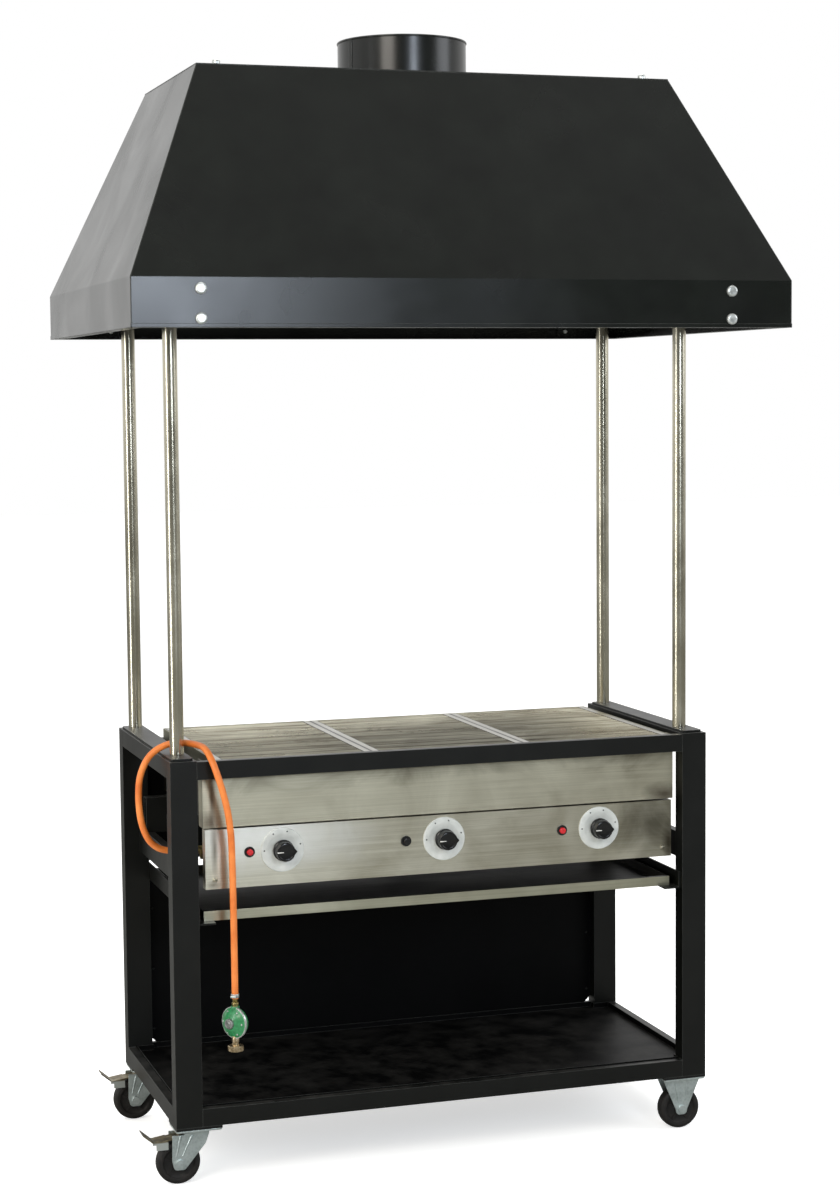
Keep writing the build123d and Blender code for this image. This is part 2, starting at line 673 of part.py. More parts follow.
def swivel_fork(x, y):
    """Head disc, kingpin, crown and two cheeks that trail to the left; the axle is fixed in it."""
    wheel_x = x - CASTOR_TRAIL
    crown_top = PLATE_BOTTOM - 7
    crown_bottom = crown_top - 4
    head = rod(29, (x, y, crown_top), (x, y, PLATE_BOTTOM - 0.3))
    pin = rod(KINGPIN_RADIUS, (x, y, crown_top), (x, y, PLATE_TOP - 0.5))
    y_out = CHEEK_GAP / 2 + CHEEK_THICK
    crown = block(x - 30, x + 26, y - y_out, y + y_out, crown_bottom, crown_top)
    body = head + pin + crown
    outline = [
        (x + 26, crown_bottom), (x - 58, crown_bottom), (wheel_x - 17, WHEEL_RADIUS + 6),
        (wheel_x - 12, WHEEL_RADIUS - 15), (wheel_x + 12, WHEEL_RADIUS - 15), (x + 18, crown_bottom - 22),
    ]
    pair = cheeks(outline, y, wheel_x)
    pin_x = x - PEDAL_PIVOT_TRAIL
    pivot = rod(PEDAL_PIN, (pin_x, y - y_out, PEDAL_PIVOT_Z), (pin_x, y + y_out, PEDAL_PIVOT_Z))
    for plate in pair:
        body += plate
    return [body + pivot, axle_bolt(wheel_x, y)]


def brake_pedal(x, y):
    """Pressed lever hinged between the cheeks: an arm, and a wider toe plate with side flanges."""
    px, pz = x - PEDAL_PIVOT_TRAIL, PEDAL_PIVOT_Z
    arm_half = CHEEK_GAP / 2 - 1.5
    toe_half = CHEEK_GAP / 2 + 2
    arm = [(px + 6, pz + 1), (px - 31, pz - 4), (px - 31, pz - 1), (px + 6, pz + 4.5)]
    toe = [
        (px - 29, pz - 4), (px - 60, pz - 9), (px - 86, pz + 13), (px - 86, pz + 16.5),
        (px - 61, pz - 5), (px - 29, pz - 0.5),
    ]
    lever = profile([(ax, y - arm_half, az) for ax, az in arm], (0, 1, 0), 2 * arm_half)
    lever += profile([(tx, y - toe_half, tz) for tx, tz in toe], (0, 1, 0), 2 * toe_half)
    for y0 in (y - toe_half, y + toe_half - 2):
        lever += block(px - 56, px - 29, y0, y0 + 2, pz - 23, pz - 5)
    lever += rod(6, (px, y - arm_half, pz), (px, y + arm_half, pz))
    return lever - rod(PEDAL_PIN + RUNNING_GAP, (px, y - 30, pz), (px, y + 30, pz))


def fixed_bracket(x, y):
    """Plate with two tapering cheeks and the axle between them."""
    half_top, half_low = 48, 15
    outline = [
        (x + half_top, PLATE_BOTTOM), (x - half_top, PLATE_BOTTOM), (x - half_low, WHEEL_RADIUS),
        (x - half_low + 3, WHEEL_RADIUS - 14), (x + half_low - 3, WHEEL_RADIUS - 14), (x + half_low, WHEEL_RADIUS),
    ]
    plates = cheeks(outline, y, x)
    body = castor_plate(x, y)
    for plate in plates:
        body += plate
    return [body, axle_bolt(x, y)]


def build_castors():
    brackets = []
    for end, y in (("front", -FOOT_Y), ("rear", FOOT_Y)):
        low, high = (-FOOT_X, y, PLATE_BOTTOM - 1), (-FOOT_X, y, PLATE_TOP + 1)
        brackets.append(castor_plate(-FOOT_X, y) - rod(KINGPIN_RADIUS + RUNNING_GAP, low, high))
        brackets += fixed_bracket(FOOT_X, y)
        save(swivel_fork(-FOOT_X, y), f"castor_fork_{end}_left")
        save(brake_pedal(-FOOT_X, y), f"brake_pedal_{end}_left")
        save(wheel(-FOOT_X - CASTOR_TRAIL, y), f"wheel_{end}_left")
        save(wheel(FOOT_X, y), f"wheel_{end}_right")
    save(brackets, "castor_brackets")


# ================================================================ gas hose
def hose_radii(points):
    """The largest tangent arc that each corner's two runs allow."""
    radii = []
    for before, corner, after in zip(points[:-2], points[1:-1], points[2:]):
        run_in = Vector(*corner) - Vector(*before)
        run_out = Vector(*after) - Vector(*corner)
        half_turn = math.radians(run_in.get_angle(run_out)) / 2
        radii.append(0.45 * min(run_in.length, run_out.length) / math.tan(half_turn))
    return radii


def gas_hose():
    """Rubber hose from the inlet, round outside the left rail and down in front of the cart."""
    radii = hose_radii(HOSE_ROUTE)
    path = FilletPolyline(*HOSE_ROUTE, radius=radii)
    section = Plane(origin=path @ 0, z_dir=path % 0) * Circle(HOSE_RADIUS)
    tube = sweep(section, path=path)
    print("hose radii", [round(r) for r in radii])
    ideal_volume = math.pi * HOSE_RADIUS**2 * path.length
    print("hose length", round(path.length), "volume ratio", tube.volume / ideal_volume)
    return tube


def regulator_parts():
    """Hose tail with its clamp, domed body, and the nut that screws onto the bottle."""
    x, y, z = HOSE_ROUTE[-1]
    tail_end = z - 14
    tail = rod(BARB_RADIUS, (x, y, z), (x, y, tail_end)) + rod(10, (x, y, z - 3), (x, y, z - 9))
    centre = Vector(x, y, tail_end - 3.5 - REGULATOR_RADIUS)
    facing = Vector(*REGULATOR_FACING).normalized()
    back, rim, crown = (Plane(origin=centre + facing * d, z_dir=facing) for d in (-14, 6, 18))
    body = extrude(back * Circle(REGULATOR_RADIUS), 20)
    body += extrude(rim * Circle(REGULATOR_RADIUS - 3), 12, taper=40)
    body += rod(STEM_RADIUS, (x, y, tail_end), (x, y, tail_end - 12))
    cap = extrude(crown * Circle(11), 6)
    stem_top = centre.Z - REGULATOR_RADIUS + 4
    nut_top = stem_top - 20
    nut_foot = nut_top - NUT_HEIGHT
    bore_top = nut_foot + NUT_THREAD_LENGTH
    body += rod(STEM_RADIUS, (x, y, stem_top), (x, y, bore_top))
    nut = Pos(x, y, nut_foot) * extrude(RegularPolygon(NUT_RADIUS, 12), NUT_HEIGHT)
    nut -= rod(STEM_RADIUS + RUNNING_GAP, (x, y, nut_top + 1), (x, y, bore_top))
    nut -= rod(NUT_THREAD_RADIUS, (x, y, bore_top), (x, y, nut_foot - 1))
    print("nut from", nut_foot, "to", nut_top)
    return tail, body, cap, nut


def build_gas_line():
    save(gas_hose(), "gas_hose")
    tail, body, cap, nut = regulator_parts()
    save(tail, "hose_tail")
    save(body, "regulator_body")
    save(cap, "regulator_cap")
    save(nut, "bottle_nut")


os.makedirs("parts", exist_ok=True)
build_cart()
build_hood()
build_grill()
build_castors()
build_gas_line()
print("nodes", len(os.listdir("parts")))
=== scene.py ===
from math import cos, pi, radians, sin

import bmesh
import bpy
from mathutils import Matrix, Vector


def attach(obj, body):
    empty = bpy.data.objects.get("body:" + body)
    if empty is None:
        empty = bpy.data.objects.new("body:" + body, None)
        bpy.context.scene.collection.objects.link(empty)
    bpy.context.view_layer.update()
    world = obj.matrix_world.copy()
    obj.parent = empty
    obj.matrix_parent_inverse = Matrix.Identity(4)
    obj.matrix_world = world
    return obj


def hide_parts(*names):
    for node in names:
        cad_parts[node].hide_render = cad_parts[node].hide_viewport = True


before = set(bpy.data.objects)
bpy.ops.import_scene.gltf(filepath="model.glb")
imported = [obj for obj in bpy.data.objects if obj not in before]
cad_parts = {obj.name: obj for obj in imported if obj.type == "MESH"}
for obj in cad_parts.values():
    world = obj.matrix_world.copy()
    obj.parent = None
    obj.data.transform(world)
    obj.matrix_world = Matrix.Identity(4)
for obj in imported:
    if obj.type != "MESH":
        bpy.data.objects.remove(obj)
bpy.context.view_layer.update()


# ================================================================ the room
# A pale matt floor under a soft sky that is darker on the cook's side, with three
# cloth-fronted studio lamps, a bounce board in front and a tall strip lamp at the left.
def linear(hex_colour):
    """An sRGB hex colour as the linear RGBA that shaders and lamps take."""
    channels = [int(hex_colour[place:place + 2], 16) / 255 for place in (1, 3, 5)]
    curve = [c / 12.92 if c <= 0.04045 else ((c + 0.055) / 1.055) ** 2.4 for c in channels]
    return (*curve, 1.0)


def add(tree, kind, values=(), links=(), **traits):
    """Adds a node: values set its sockets, links feed them, traits set its own settings."""
    made = tree.nodes.new("ShaderNode" + kind)
    for trait, choice in traits.items():
        setattr(made, trait, choice)
    for socket, value in dict(values).items():
        made.inputs[socket].default_value = value
    for socket, source in dict(links).items():
        tree.links.new(source, made.inputs[socket])
    return made


def ramp(tree, feed, *stops):
    """A colour ramp from (position, hex colour) stops."""
    made = add(tree, "ValToRGB", links={"Fac": feed})
    scale = made.color_ramp
    while len(scale.elements) < len(stops):
        scale.elements.new(0.5)
    for element, (position, colour) in zip(scale.elements, stops):
        element.position = position
        element.color = linear(colour)
    return made.outputs["Color"]


ROOM_WHITE = "#ffffff"
SKY_FRONT = "#4c4f4f"
SKY_BACK = "#fdfdfc"
FLOOR_HALF = 30.0

sky = bpy.data.worlds.new("studio_sky")
sky.use_nodes = True
sky.node_tree.nodes.clear()
sky_way = add(sky.node_tree, "TexCoord")
sky_axes = add(sky.node_tree, "SeparateXYZ", links={"Vector": sky_way.outputs["Generated"]})
sky_shade = ramp(sky.node_tree, add(
    sky.node_tree, "MapRange", {"From Min": -0.9, "From Max": 0.2}, {"Value": sky_axes.outputs["Y"]},
).outputs["Result"], (0.0, SKY_FRONT), (1.0, SKY_BACK))
sky_rays = add(sky.node_tree, "LightPath")
sky_seen = add(sky.node_tree, "Mix", {7: linear(ROOM_WHITE)}, {
    0: sky_rays.outputs["Is Camera Ray"], 6: sky_shade}, data_type="RGBA")
sky_glow = add(sky.node_tree, "Background", {"Strength": 1.0}, {"Color": sky_seen.outputs[2]})
add(sky.node_tree, "OutputWorld", links={"Surface": sky_glow.outputs[0]})
bpy.context.scene.world = sky
bpy.context.scene.view_settings.view_transform = "Standard"


def new_material(name):
    """An empty node material with its surface shader already on the output."""
    material = bpy.data.materials.new(name)
    material.use_nodes = True
    material.node_tree.nodes.clear()
    shader = add(material.node_tree, "BsdfPrincipled")
    add(material.node_tree, "OutputMaterial", links={"Surface": shader.outputs[0]})
    return material, material.node_tree, shader


# Painted concrete, rolled on: matt, pale and only faintly uneven. The lamps are flagged off it
# in front, so it glows for the eye and stays dim in the gloss of steel and paint.
floor_paint, tree, shader = new_material("rolled_floor_paint")
cloud = add(tree, "TexNoise", {"Scale": 0.8, "Detail": 3.0})
rays = add(tree, "LightPath")
flagged = add(tree, "Mix", {7: linear("#9a9a96")}, {
    0: rays.outputs["Is Glossy Ray"],
    6: ramp(tree, cloud.outputs["Fac"], (0.3, "#f4f4f2"), (0.7, "#f8f8f6")),
}, data_type="RGBA")
tree.links.new(flagged.outputs[2], shader.inputs["Base Color"])
glow = add(tree, "Math", {1: 0.55}, {0: rays.outputs["Is Camera Ray"]}, operation="MULTIPLY")
tree.links.new(glow.outputs[0], shader.inputs["Emission Strength"])
shader.inputs["Emission Color"].default_value = linear("#ffffff")
shader.inputs["Roughness"].default_value = 0.85
shader.inputs["Specular IOR Level"].default_value = 0.0

floor_mesh = bmesh.new()
bmesh.ops.create_grid(floor_mesh, x_segments=8, y_segments=8, size=FLOOR_HALF)
floor_data = bpy.data.meshes.new("studio_floor")
floor_mesh.to_mesh(floor_data)
floor_mesh.free()
floor_data.materials.append(floor_paint)
studio_floor = bpy.data.objects.new("studio_floor", floor_data)
bpy.context.scene.collection.objects.link(studio_floor)

# Name, where it hangs, what it points at, its cloth's width and height, its power and its tint.
LAMPS = (
    ("key_lamp", (-4.2, -4.6, 4.4), (0.0, 0.0, 1.3), 2.6, 2.6, 190, "#fff9f0"),
    ("right_lamp", (4.6, -2.6, 3.2), (0.0, 0.0, 1.2), 2.4, 2.4, 70, "#f4f8ff"),
    ("roof_lamp", (0.4, 1.2, 5.6), (0.0, 0.0, 1.0), 4.0, 3.0, 110, "#ffffff"),
    ("rim_board", (0.36, -5.9, 2.8), (-0.6, -0.5, 2.2), 0.85, 1.9, 105, "#e4eefc"),
    ("left_strip", (-3.6, -1.2, 1.5), (-0.6, -0.2, 1.4), 0.5, 2.4, 34, "#ffffff"),
)
for name, place, target, wide, high, watts, tint in LAMPS:
    lamp = bpy.data.lights.new(name, "AREA")
    lamp.shape = "RECTANGLE"
    lamp.size, lamp.size_y = wide, high
    lamp.energy = watts
    lamp.color = linear(tint)[:3]
    stand = bpy.data.objects.new(name, lamp)
    stand.location = place
    stand.rotation_euler = (Vector(target) - Vector(place)).to_track_quat("-Z", "Y").to_euler()
    bpy.context.scene.collection.objects.link(stand)

CAMERA_PLACE = (-1.7017, -5.3642, 1.7588)
CAMERA_YAW = radians(17.92)
CAMERA_PITCH = radians(4.965)
CAMERA_ROLL = radians(-0.513)
lens = bpy.data.cameras.new("camera")
lens.sensor_fit = "VERTICAL"
lens.sensor_height = 36.0
lens.lens = 71.01
camera = bpy.data.objects.new("camera", lens)
camera.matrix_world = (
    Matrix.Translation(CAMERA_PLACE) @ Matrix.Rotation(-CAMERA_YAW, 4, "Z")
    @ Matrix.Rotation(pi / 2 - CAMERA_PITCH, 4, "X") @ Matrix.Rotation(CAMERA_ROLL, 4, "Z")
)
bpy.context.scene.collection.objects.link(camera)
bpy.context.scene.camera = camera


# ================================================================ cart frame
# Welded rectangular steel tube: four legs, their rails, bearers, the flat bars
# for the posts, foot plates and tray runners, all sprayed black after welding.
CART_HALF_WIDTH = 0.643
CART_HALF_DEPTH = 0.297
LEG_WIDTH = 0.060
LEG_DEPTH = 0.040
LEG_FOOT = 0.135
LEG_TOP = 0.959


def dress(material, *nodes):
    """Gives CAD nodes their finish."""
    for node in nodes:
        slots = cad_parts[node].material_slots
        if not slots:
            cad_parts[node].data.materials.append(material)
        for held in slots:
            held.material = material


def black_paint(name, deep, dusty, gloss, ripple_scale, ripple, shine, arris_radius=0.0015, settled=0.35):
    """Black two-pack paint: near-black, half gloss, thinner and paler where edges wear, dusty on top."""
    material, tree, shader = new_material(name)
    place = add(tree, "TexCoord").outputs["Object"]
    patch = add(tree, "TexNoise", {"Scale": 9.0, "Detail": 4.0, "Roughness": 0.6}, {"Vector": place})
    coat = ramp(tree, patch.outputs["Fac"], (0.3, deep), (0.75, dusty))
    # Rounded arrises catch the light; the paint is rubbed thin along them.
    arris = add(tree, "Bevel", {"Radius": arris_radius}, samples=6)
    flat = add(tree, "NewGeometry")
    turn_away = add(tree, "VectorMath", links={
        0: arris.outputs[0], 1: flat.outputs["True Normal"]}, operation="DOT_PRODUCT")
    edge = add(tree, "MapRange", {"From Min": 0.995, "From Max": 0.8}, {"Value": turn_away.outputs["Value"]})
    rub = add(tree, "TexNoise", {"Scale": 55.0, "Detail": 5.0, "Roughness": 0.7}, {"Vector": place})
    rubbed = add(tree, "Math", links={0: edge.outputs[0], 1: rub.outputs["Fac"]}, operation="MULTIPLY")
    worn = add(tree, "Mix", {7: linear("#5b5d59")}, {
        0: rubbed.outputs[0], 6: coat}, data_type="RGBA")
    # Grey dust settles on level faces in uneven drifts.
    up = add(tree, "SeparateXYZ", links={"Vector": flat.outputs["Normal"]})
    level = add(tree, "MapRange", {"From Min": 0.7, "From Max": 1.0}, {"Value": up.outputs["Z"]})
    drift = add(tree, "TexNoise", {"Scale": 14.0, "Detail": 8.0, "Roughness": 0.65}, {"Vector": place})
    grains = add(tree, "MapRange", {"From Min": 0.4, "From Max": 0.8, "To Max": settled}, {
        "Value": drift.outputs["Fac"]})
    dust = add(tree, "Math", links={0: level.outputs[0], 1: grains.outputs[0]}, operation="MULTIPLY")
    powdered = add(tree, "Mix", {7: linear("#6d6b66")}, {
        0: dust.outputs[0], 6: worn.outputs[2]}, data_type="RGBA")
    tree.links.new(powdered.outputs[2], shader.inputs["Base Color"])
    smear = add(tree, "TexNoise", {"Scale": 5.0, "Detail": 3.0, "Distortion": 0.6}, {"Vector": place})
    sheen = add(tree, "MapRange", {"To Min": gloss - 0.06, "To Max": gloss + 0.12}, {
        "Value": smear.outputs["Fac"]})
    matted = add(tree, "Math", {2: 0.9}, {0: dust.outputs[0], 1: sheen.outputs[0]}, operation="MAXIMUM")
    tree.links.new(matted.outputs[0], shader.inputs["Roughness"])
    peel = add(tree, "TexNoise", {"Scale": ripple_scale, "Detail": 2.0}, {"Vector": place})
    skin = add(tree, "Bump", {"Strength": ripple, "Distance": 0.0006}, {
        "Height": peel.outputs["Fac"], "Normal": arris.outputs[0]})
    tree.links.new(skin.outputs[0], shader.inputs["Normal"])
    shader.inputs["Specular IOR Level"].default_value = shine
    return material


# Sprayed black polyurethane on tube. Its orange peel of about 2 mm is drawn at 6 mm so that it shows.
sprayed_black = black_paint("sprayed_black_polyurethane", "#060705", "#0e0f0c", 0.36, 170.0, 0.12, 0.32)
dress(
    sprayed_black, "leg_front_left", "leg_front_right", "leg_rear_left", "leg_rear_right", "top_rails",
    "bottom_rails", "unit_rails", "post_seat_plates", "foot_plates", "tray_runners",
)


def keep(name, mesh, materials, body, rounding=0.0):
    """Turns a built mesh into a piece with its finishes, on its body; rounding softens sharp edges."""
    bmesh.ops.recalc_face_normals(mesh, faces=mesh.faces)
    data = bpy.data.meshes.new(name)
    mesh.to_mesh(data)
    mesh.free()
    for material in materials:
        data.materials.append(material)
    data.set_sharp_from_angle(angle=radians(38))
    piece = bpy.data.objects.new(name, data)
    bpy.context.scene.collection.objects.link(piece)
    if rounding:
        soften = piece.modifiers.new("rounding", "BEVEL")
        soften.width = rounding
        soften.segments = 2
        soften.limit_method = "ANGLE"
    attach(piece, body)
    return piece


def weld_bead(mesh, start, end, thickness, coins_per_mm=0.55):
    """A stacked-coin weld: a ribbed round bead that runs from start to end, three rings to a coin."""
    start, end = Vector(start), Vector(end)
    run = end - start
    count = max(8, int(run.length * 1000 * coins_per_mm * 3))
    turn = run.to_track_quat("Z", "Y").to_matrix()
    rings = []
    for step in range(count + 1):
        share = step / count
        swell = 0.82 + 0.18 * abs(sin(pi * share * count / 3))
        swell *= min(1.0, 0.35 + 6 * share, 0.35 + 6 * (1 - share))
        centre = start + run * share
        rings.append([
            mesh.verts.new(centre + turn @ Vector((cos(a), sin(a), 0)) * thickness * swell)
            for a in (2 * pi * k / 8 for k in range(8))
        ])
    for low, high in zip(rings, rings[1:]):
        for k in range(8):
            mesh.faces.new((low[k], low[(k + 1) % 8], high[(k + 1) % 8], high[k])).smooth = True
    mesh.faces.new(rings[0])
    mesh.faces.new(rings[-1])


# Fillet welds where rails meet legs, painted over with the frame.
BEAD = 0.0022
RAIL_HEIGHT = 0.040
MID_RAIL_FOOT = 0.660
MID_RAIL_TOP = 0.720
LEG_INNER_X = CART_HALF_WIDTH - LEG_WIDTH
LEG_INNER_Y = CART_HALF_DEPTH - LEG_DEPTH
beads = bmesh.new()
for side in (-1, 1):
    for end in (-1, 1):
        x = side * LEG_INNER_X
        y_rail = end * (CART_HALF_DEPTH - 0.020)
        top = LEG_TOP - (0.042 if end < 0 else 0.069)
        for low, high in ((LEG_FOOT, LEG_FOOT + RAIL_HEIGHT), (top, top + RAIL_HEIGHT)):
            weld_bead(beads, (x, y_rail, low), (x, y_rail, high), BEAD)
            under = high if low == LEG_FOOT else low
            weld_bead(beads, (x, y_rail, under), (x, y_rail + end * 0.018, under), BEAD)
        weld_bead(beads, (side * (CART_HALF_WIDTH - 0.020), end * LEG_INNER_Y, LEG_FOOT + RAIL_HEIGHT),
                  (side * (CART_HALF_WIDTH - 0.001), end * LEG_INNER_Y, LEG_FOOT + RAIL_HEIGHT), BEAD)
        for low, high in ((MID_RAIL_FOOT, MID_RAIL_TOP), (LEG_TOP - RAIL_HEIGHT, LEG_TOP - 0.001)):
            inset = 0.038 if low == MID_RAIL_FOOT else 0.0
            weld_bead(beads, (side * (CART_HALF_WIDTH - inset - 0.001), end * LEG_INNER_Y, low),
                      (side * (CART_HALF_WIDTH - inset - 0.001), end * LEG_INNER_Y, high), BEAD * 0.6)
for side in (-1, 1):
    at_x, at_y = side * LEG_INNER_X, CART_HALF_DEPTH - 0.020
    weld_bead(beads, (at_x, at_y, MID_RAIL_FOOT), (at_x, at_y, MID_RAIL_TOP), BEAD)
frame_welds = keep("frame_welds", beads, [sprayed_black], "frame")


# ================================================================ castors
# Pressed zinc-plated castors with 100 mm rubber wheels on steel axles. The two left
# ones swivel and have a foot brake; the two right ones are fixed.
WHEEL_RADIUS = 0.050
FOOT_X = CART_HALF_WIDTH - 0.0525
FOOT_Y = CART_HALF_DEPTH - 0.0425
CASTOR_TRAIL = 0.042


# Bright zinc plate on pressed steel: cool, cloudy and satin, with darker crystal patches.
zinc, tree, shader = new_material("zinc_plated_steel")
place = add(tree, "TexCoord").outputs["Object"]
crystal = add(tree, "TexVoronoi", {"Scale": 160.0, "Randomness": 1.0}, {"Vector": place})
cloud = add(tree, "TexNoise", {"Scale": 30.0, "Detail": 6.0, "Roughness": 0.6}, {"Vector": place})
blend = add(tree, "Mix", {0: 0.25}, {2: cloud.outputs["Fac"], 3: crystal.outputs["Distance"]})
tree.links.new(ramp(tree, blend.outputs[0], (0.2, "#98a3a2"), (0.5, "#bfc9c7"), (0.8, "#d6dedc")),
               shader.inputs["Base Color"])
gloss = add(tree, "MapRange", {"To Min": 0.3, "To Max": 0.52}, {"Value": cloud.outputs["Fac"]})
tree.links.new(gloss.outputs[0], shader.inputs["Roughness"])
arris = add(tree, "Bevel", {"Radius": 0.0012}, samples=6)
skin = add(tree, "Bump", {"Strength": 0.1, "Distance": 0.0004}, {
    "Height": cloud.outputs["Fac"], "Normal": arris.outputs[0]})
tree.links.new(skin.outputs[0], shader.inputs["Normal"])
shader.inputs["Metallic"].default_value = 0.85
dress(zinc, "castor_brackets", "castor_fork_front_left", "castor_fork_rear_left")

# Yellow-passivated zinc on the brake levers: brassy brown with an oily rainbow of roughness.
yellow_zinc, tree, shader = new_material("yellow_passivated_zinc")
place = add(tree, "TexCoord").outputs["Object"]
film = add(tree, "TexNoise", {"Scale": 60.0, "Detail": 5.0, "Distortion": 0.8}, {"Vector": place})
film_tone = ramp(tree, film.outputs["Fac"], (0.3, "#3d3527"), (0.55, "#7a6f55"), (0.75, "#a39b82"))
# The shoe under the toe has been rubbed back to bare zinc.
height = add(tree, "SeparateXYZ", links={"Vector": place})
shoe = add(tree, "MapRange", {"From Min": 0.1025, "From Max": 0.0995}, {"Value": height.outputs["Z"]})
tone = add(tree, "Mix", {7: linear("#cfd4d0")}, {0: shoe.outputs[0], 6: film_tone}, data_type="RGBA")
tree.links.new(tone.outputs[2], shader.inputs["Base Color"])
gloss = add(tree, "MapRange", {"To Min": 0.28, "To Max": 0.5}, {"Value": film.outputs["Fac"]})
tree.links.new(gloss.outputs[0], shader.inputs["Roughness"])
arris = add(tree, "Bevel", {"Radius": 0.0008}, samples=6)
tree.links.new(arris.outputs[0], shader.inputs["Normal"])
shader.inputs["Metallic"].default_value = 0.9
dress(yellow_zinc, "brake_pedal_front_left", "brake_pedal_rear_left")

# Black rubber tyre, moulded: matt and brown-black, greyed by floor dust on the tread.
tyre_rubber, tree, shader = new_material("moulded_black_rubber")
place = add(tree, "TexCoord").outputs["Object"]
scuff = add(tree, "TexNoise", {"Scale": 70.0, "Detail": 8.0, "Roughness": 0.7}, {"Vector": place})
tree.links.new(ramp(tree, scuff.outputs["Fac"], (0.35, "#121110"), (0.6, "#201d1a"), (0.85, "#443f39")),
               shader.inputs["Base Color"])
gloss = add(tree, "MapRange", {"To Min": 0.5, "To Max": 0.75}, {"Value": scuff.outputs["Fac"]})
tree.links.new(gloss.outputs[0], shader.inputs["Roughness"])
skin = add(tree, "Bump", {"Strength": 0.25, "Distance": 0.0004}, {"Height": scuff.outputs["Fac"]})
tree.links.new(skin.outputs[0], shader.inputs["Normal"])
shader.inputs["Specular IOR Level"].default_value = 0.35


def seat(at, facing):
    """A placing whose Z axis leaves the point at along facing."""
    return Matrix.Translation(at) @ Vector(facing).to_track_quat("Z", "Y").to_matrix().to_4x4()


def turned(mesh, profile, placing, steps=64, finish=0):
    """Lathe work: profile is (radius, height) pairs in millimetres, revolved about the placing's Z axis."""
    rings = []
    for radius, height in profile:
        count = steps if radius > 0 else 1
        ring = []
        for k in range(count):
            angle = 2 * pi * k / count
            spot = Vector((radius / 1000 * cos(angle), radius / 1000 * sin(angle), height / 1000))
            ring.append(mesh.verts.new(placing @ spot))
        rings.append(ring)
    for low, high in zip(rings, rings[1:]):
        for k in range(steps):
            below = (low[k % len(low)], low[(k + 1) % len(low)])
            above = (high[(k + 1) % len(high)], high[k % len(high)])
            corners = list(dict.fromkeys(below + above))
            if len(corners) > 2:
                made = mesh.faces.new(corners)
                made.smooth = True
                made.material_index = finish


# Half a wheel's section from the bore out: hub boss, dished web, sidewall bead, shoulder and tread.
WHEEL_SECTION = (
    (6.2, 18), (9.5, 18), (11, 17.2), (11.4, 13), (14, 11.6), (24, 11.2), (33, 11.8), (35.5, 13.2),
    (36.5, 15.4), (38, 16), (43, 15.8), (46.5, 14.4), (48.8, 11.4), (49.8, 7), (50, 0),
)
for end, y in (("front", -FOOT_Y), ("rear", FOOT_Y)):
    for side, x in (("left", -FOOT_X - CASTOR_TRAIL), ("right", FOOT_X)):
        wheel = bmesh.new()
        whole = list(WHEEL_SECTION) + [(r, -h) for r, h in reversed(WHEEL_SECTION[:-1])] + [WHEEL_SECTION[0]]
        turned(wheel, whole, seat((x, y, WHEEL_RADIUS), (0, 1, 0)), steps=72)
        # Five shallow ribs stiffen each face of the web.
        for face in (-1, 1):
            for spoke in range(5):
                angle = 2 * pi * spoke / 5 + 0.3
                out = Vector((cos(angle), 0, sin(angle)))
                across = Vector((-sin(angle), 0, cos(angle)))
                hub = Vector((x, y + face * 0.0112, WHEEL_RADIUS))
                corners = []
                for reach in (0.0105, 0.0345):
                    for offset in (-0.0016, 0.0016):
                        for lift in (0.0, 0.0022):
                            corners.append(wheel.verts.new(
                                hub + out * reach + across * offset + Vector((0, face * lift, 0))))
                bmesh.ops.convex_hull(wheel, input=corners)
        tyre = keep(f"rubber_wheel_{end}_{side}", wheel, [tyre_rubber], f"{end}_{side}_wheel")
        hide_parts(f"wheel_{end}_{side}")

# Each cheek is stiffened by two pressed ribs that run from the crown down towards the axle.
CHEEK_FACE = 0.022
RIB_TOP = 0.112
RIB_FOOT = 0.066
RIB_SUNK = -0.0002
RIB_CREST = 0.0016
for side, side_x, shift in (("left", -FOOT_X, -CASTOR_TRAIL), ("right", FOOT_X, 0.0)):
    for end, y in (("front", -FOOT_Y), ("rear", FOOT_Y)):
        ribs = bmesh.new()
        for face in (-1, 1):
            for top_dx, foot_dx in ((-0.016, -0.008), (0.010, 0.006)):
                top = Vector((side_x + shift * 0.55 + top_dx, y + face * CHEEK_FACE, RIB_TOP))
                foot = Vector((side_x + shift + foot_dx, y + face * CHEEK_FACE, RIB_FOOT))
                corners = []
                for point, half in ((top, 0.0034), (foot, 0.0018)):
                    for part, lift in ((-1, RIB_SUNK), (-0.4, RIB_CREST), (0.4, RIB_CREST), (1, RIB_SUNK)):
                        corners.append(ribs.verts.new(point + Vector((half * part, face * lift, 0))))
                bmesh.ops.convex_hull(ribs, input=corners)
        holder = f"{end}_left_fork" if side == "left" else "frame"
        keep(f"cheek_ribs_{end}_{side}", ribs, [zinc], holder)


# ================================================================ shelf and back panel
# A folded steel sheet lies between the bottom rails, and two more close the back below and
# above the drip tray; they were painted by brush before they were dropped in.
panel_black = black_paint(
    "brushed_on_black_enamel", "#010101", "#040404", 0.46, 60.0, 0.15, 0.12, settled=0.16,
)
dress(panel_black, "shelf_pan", "back_panel")


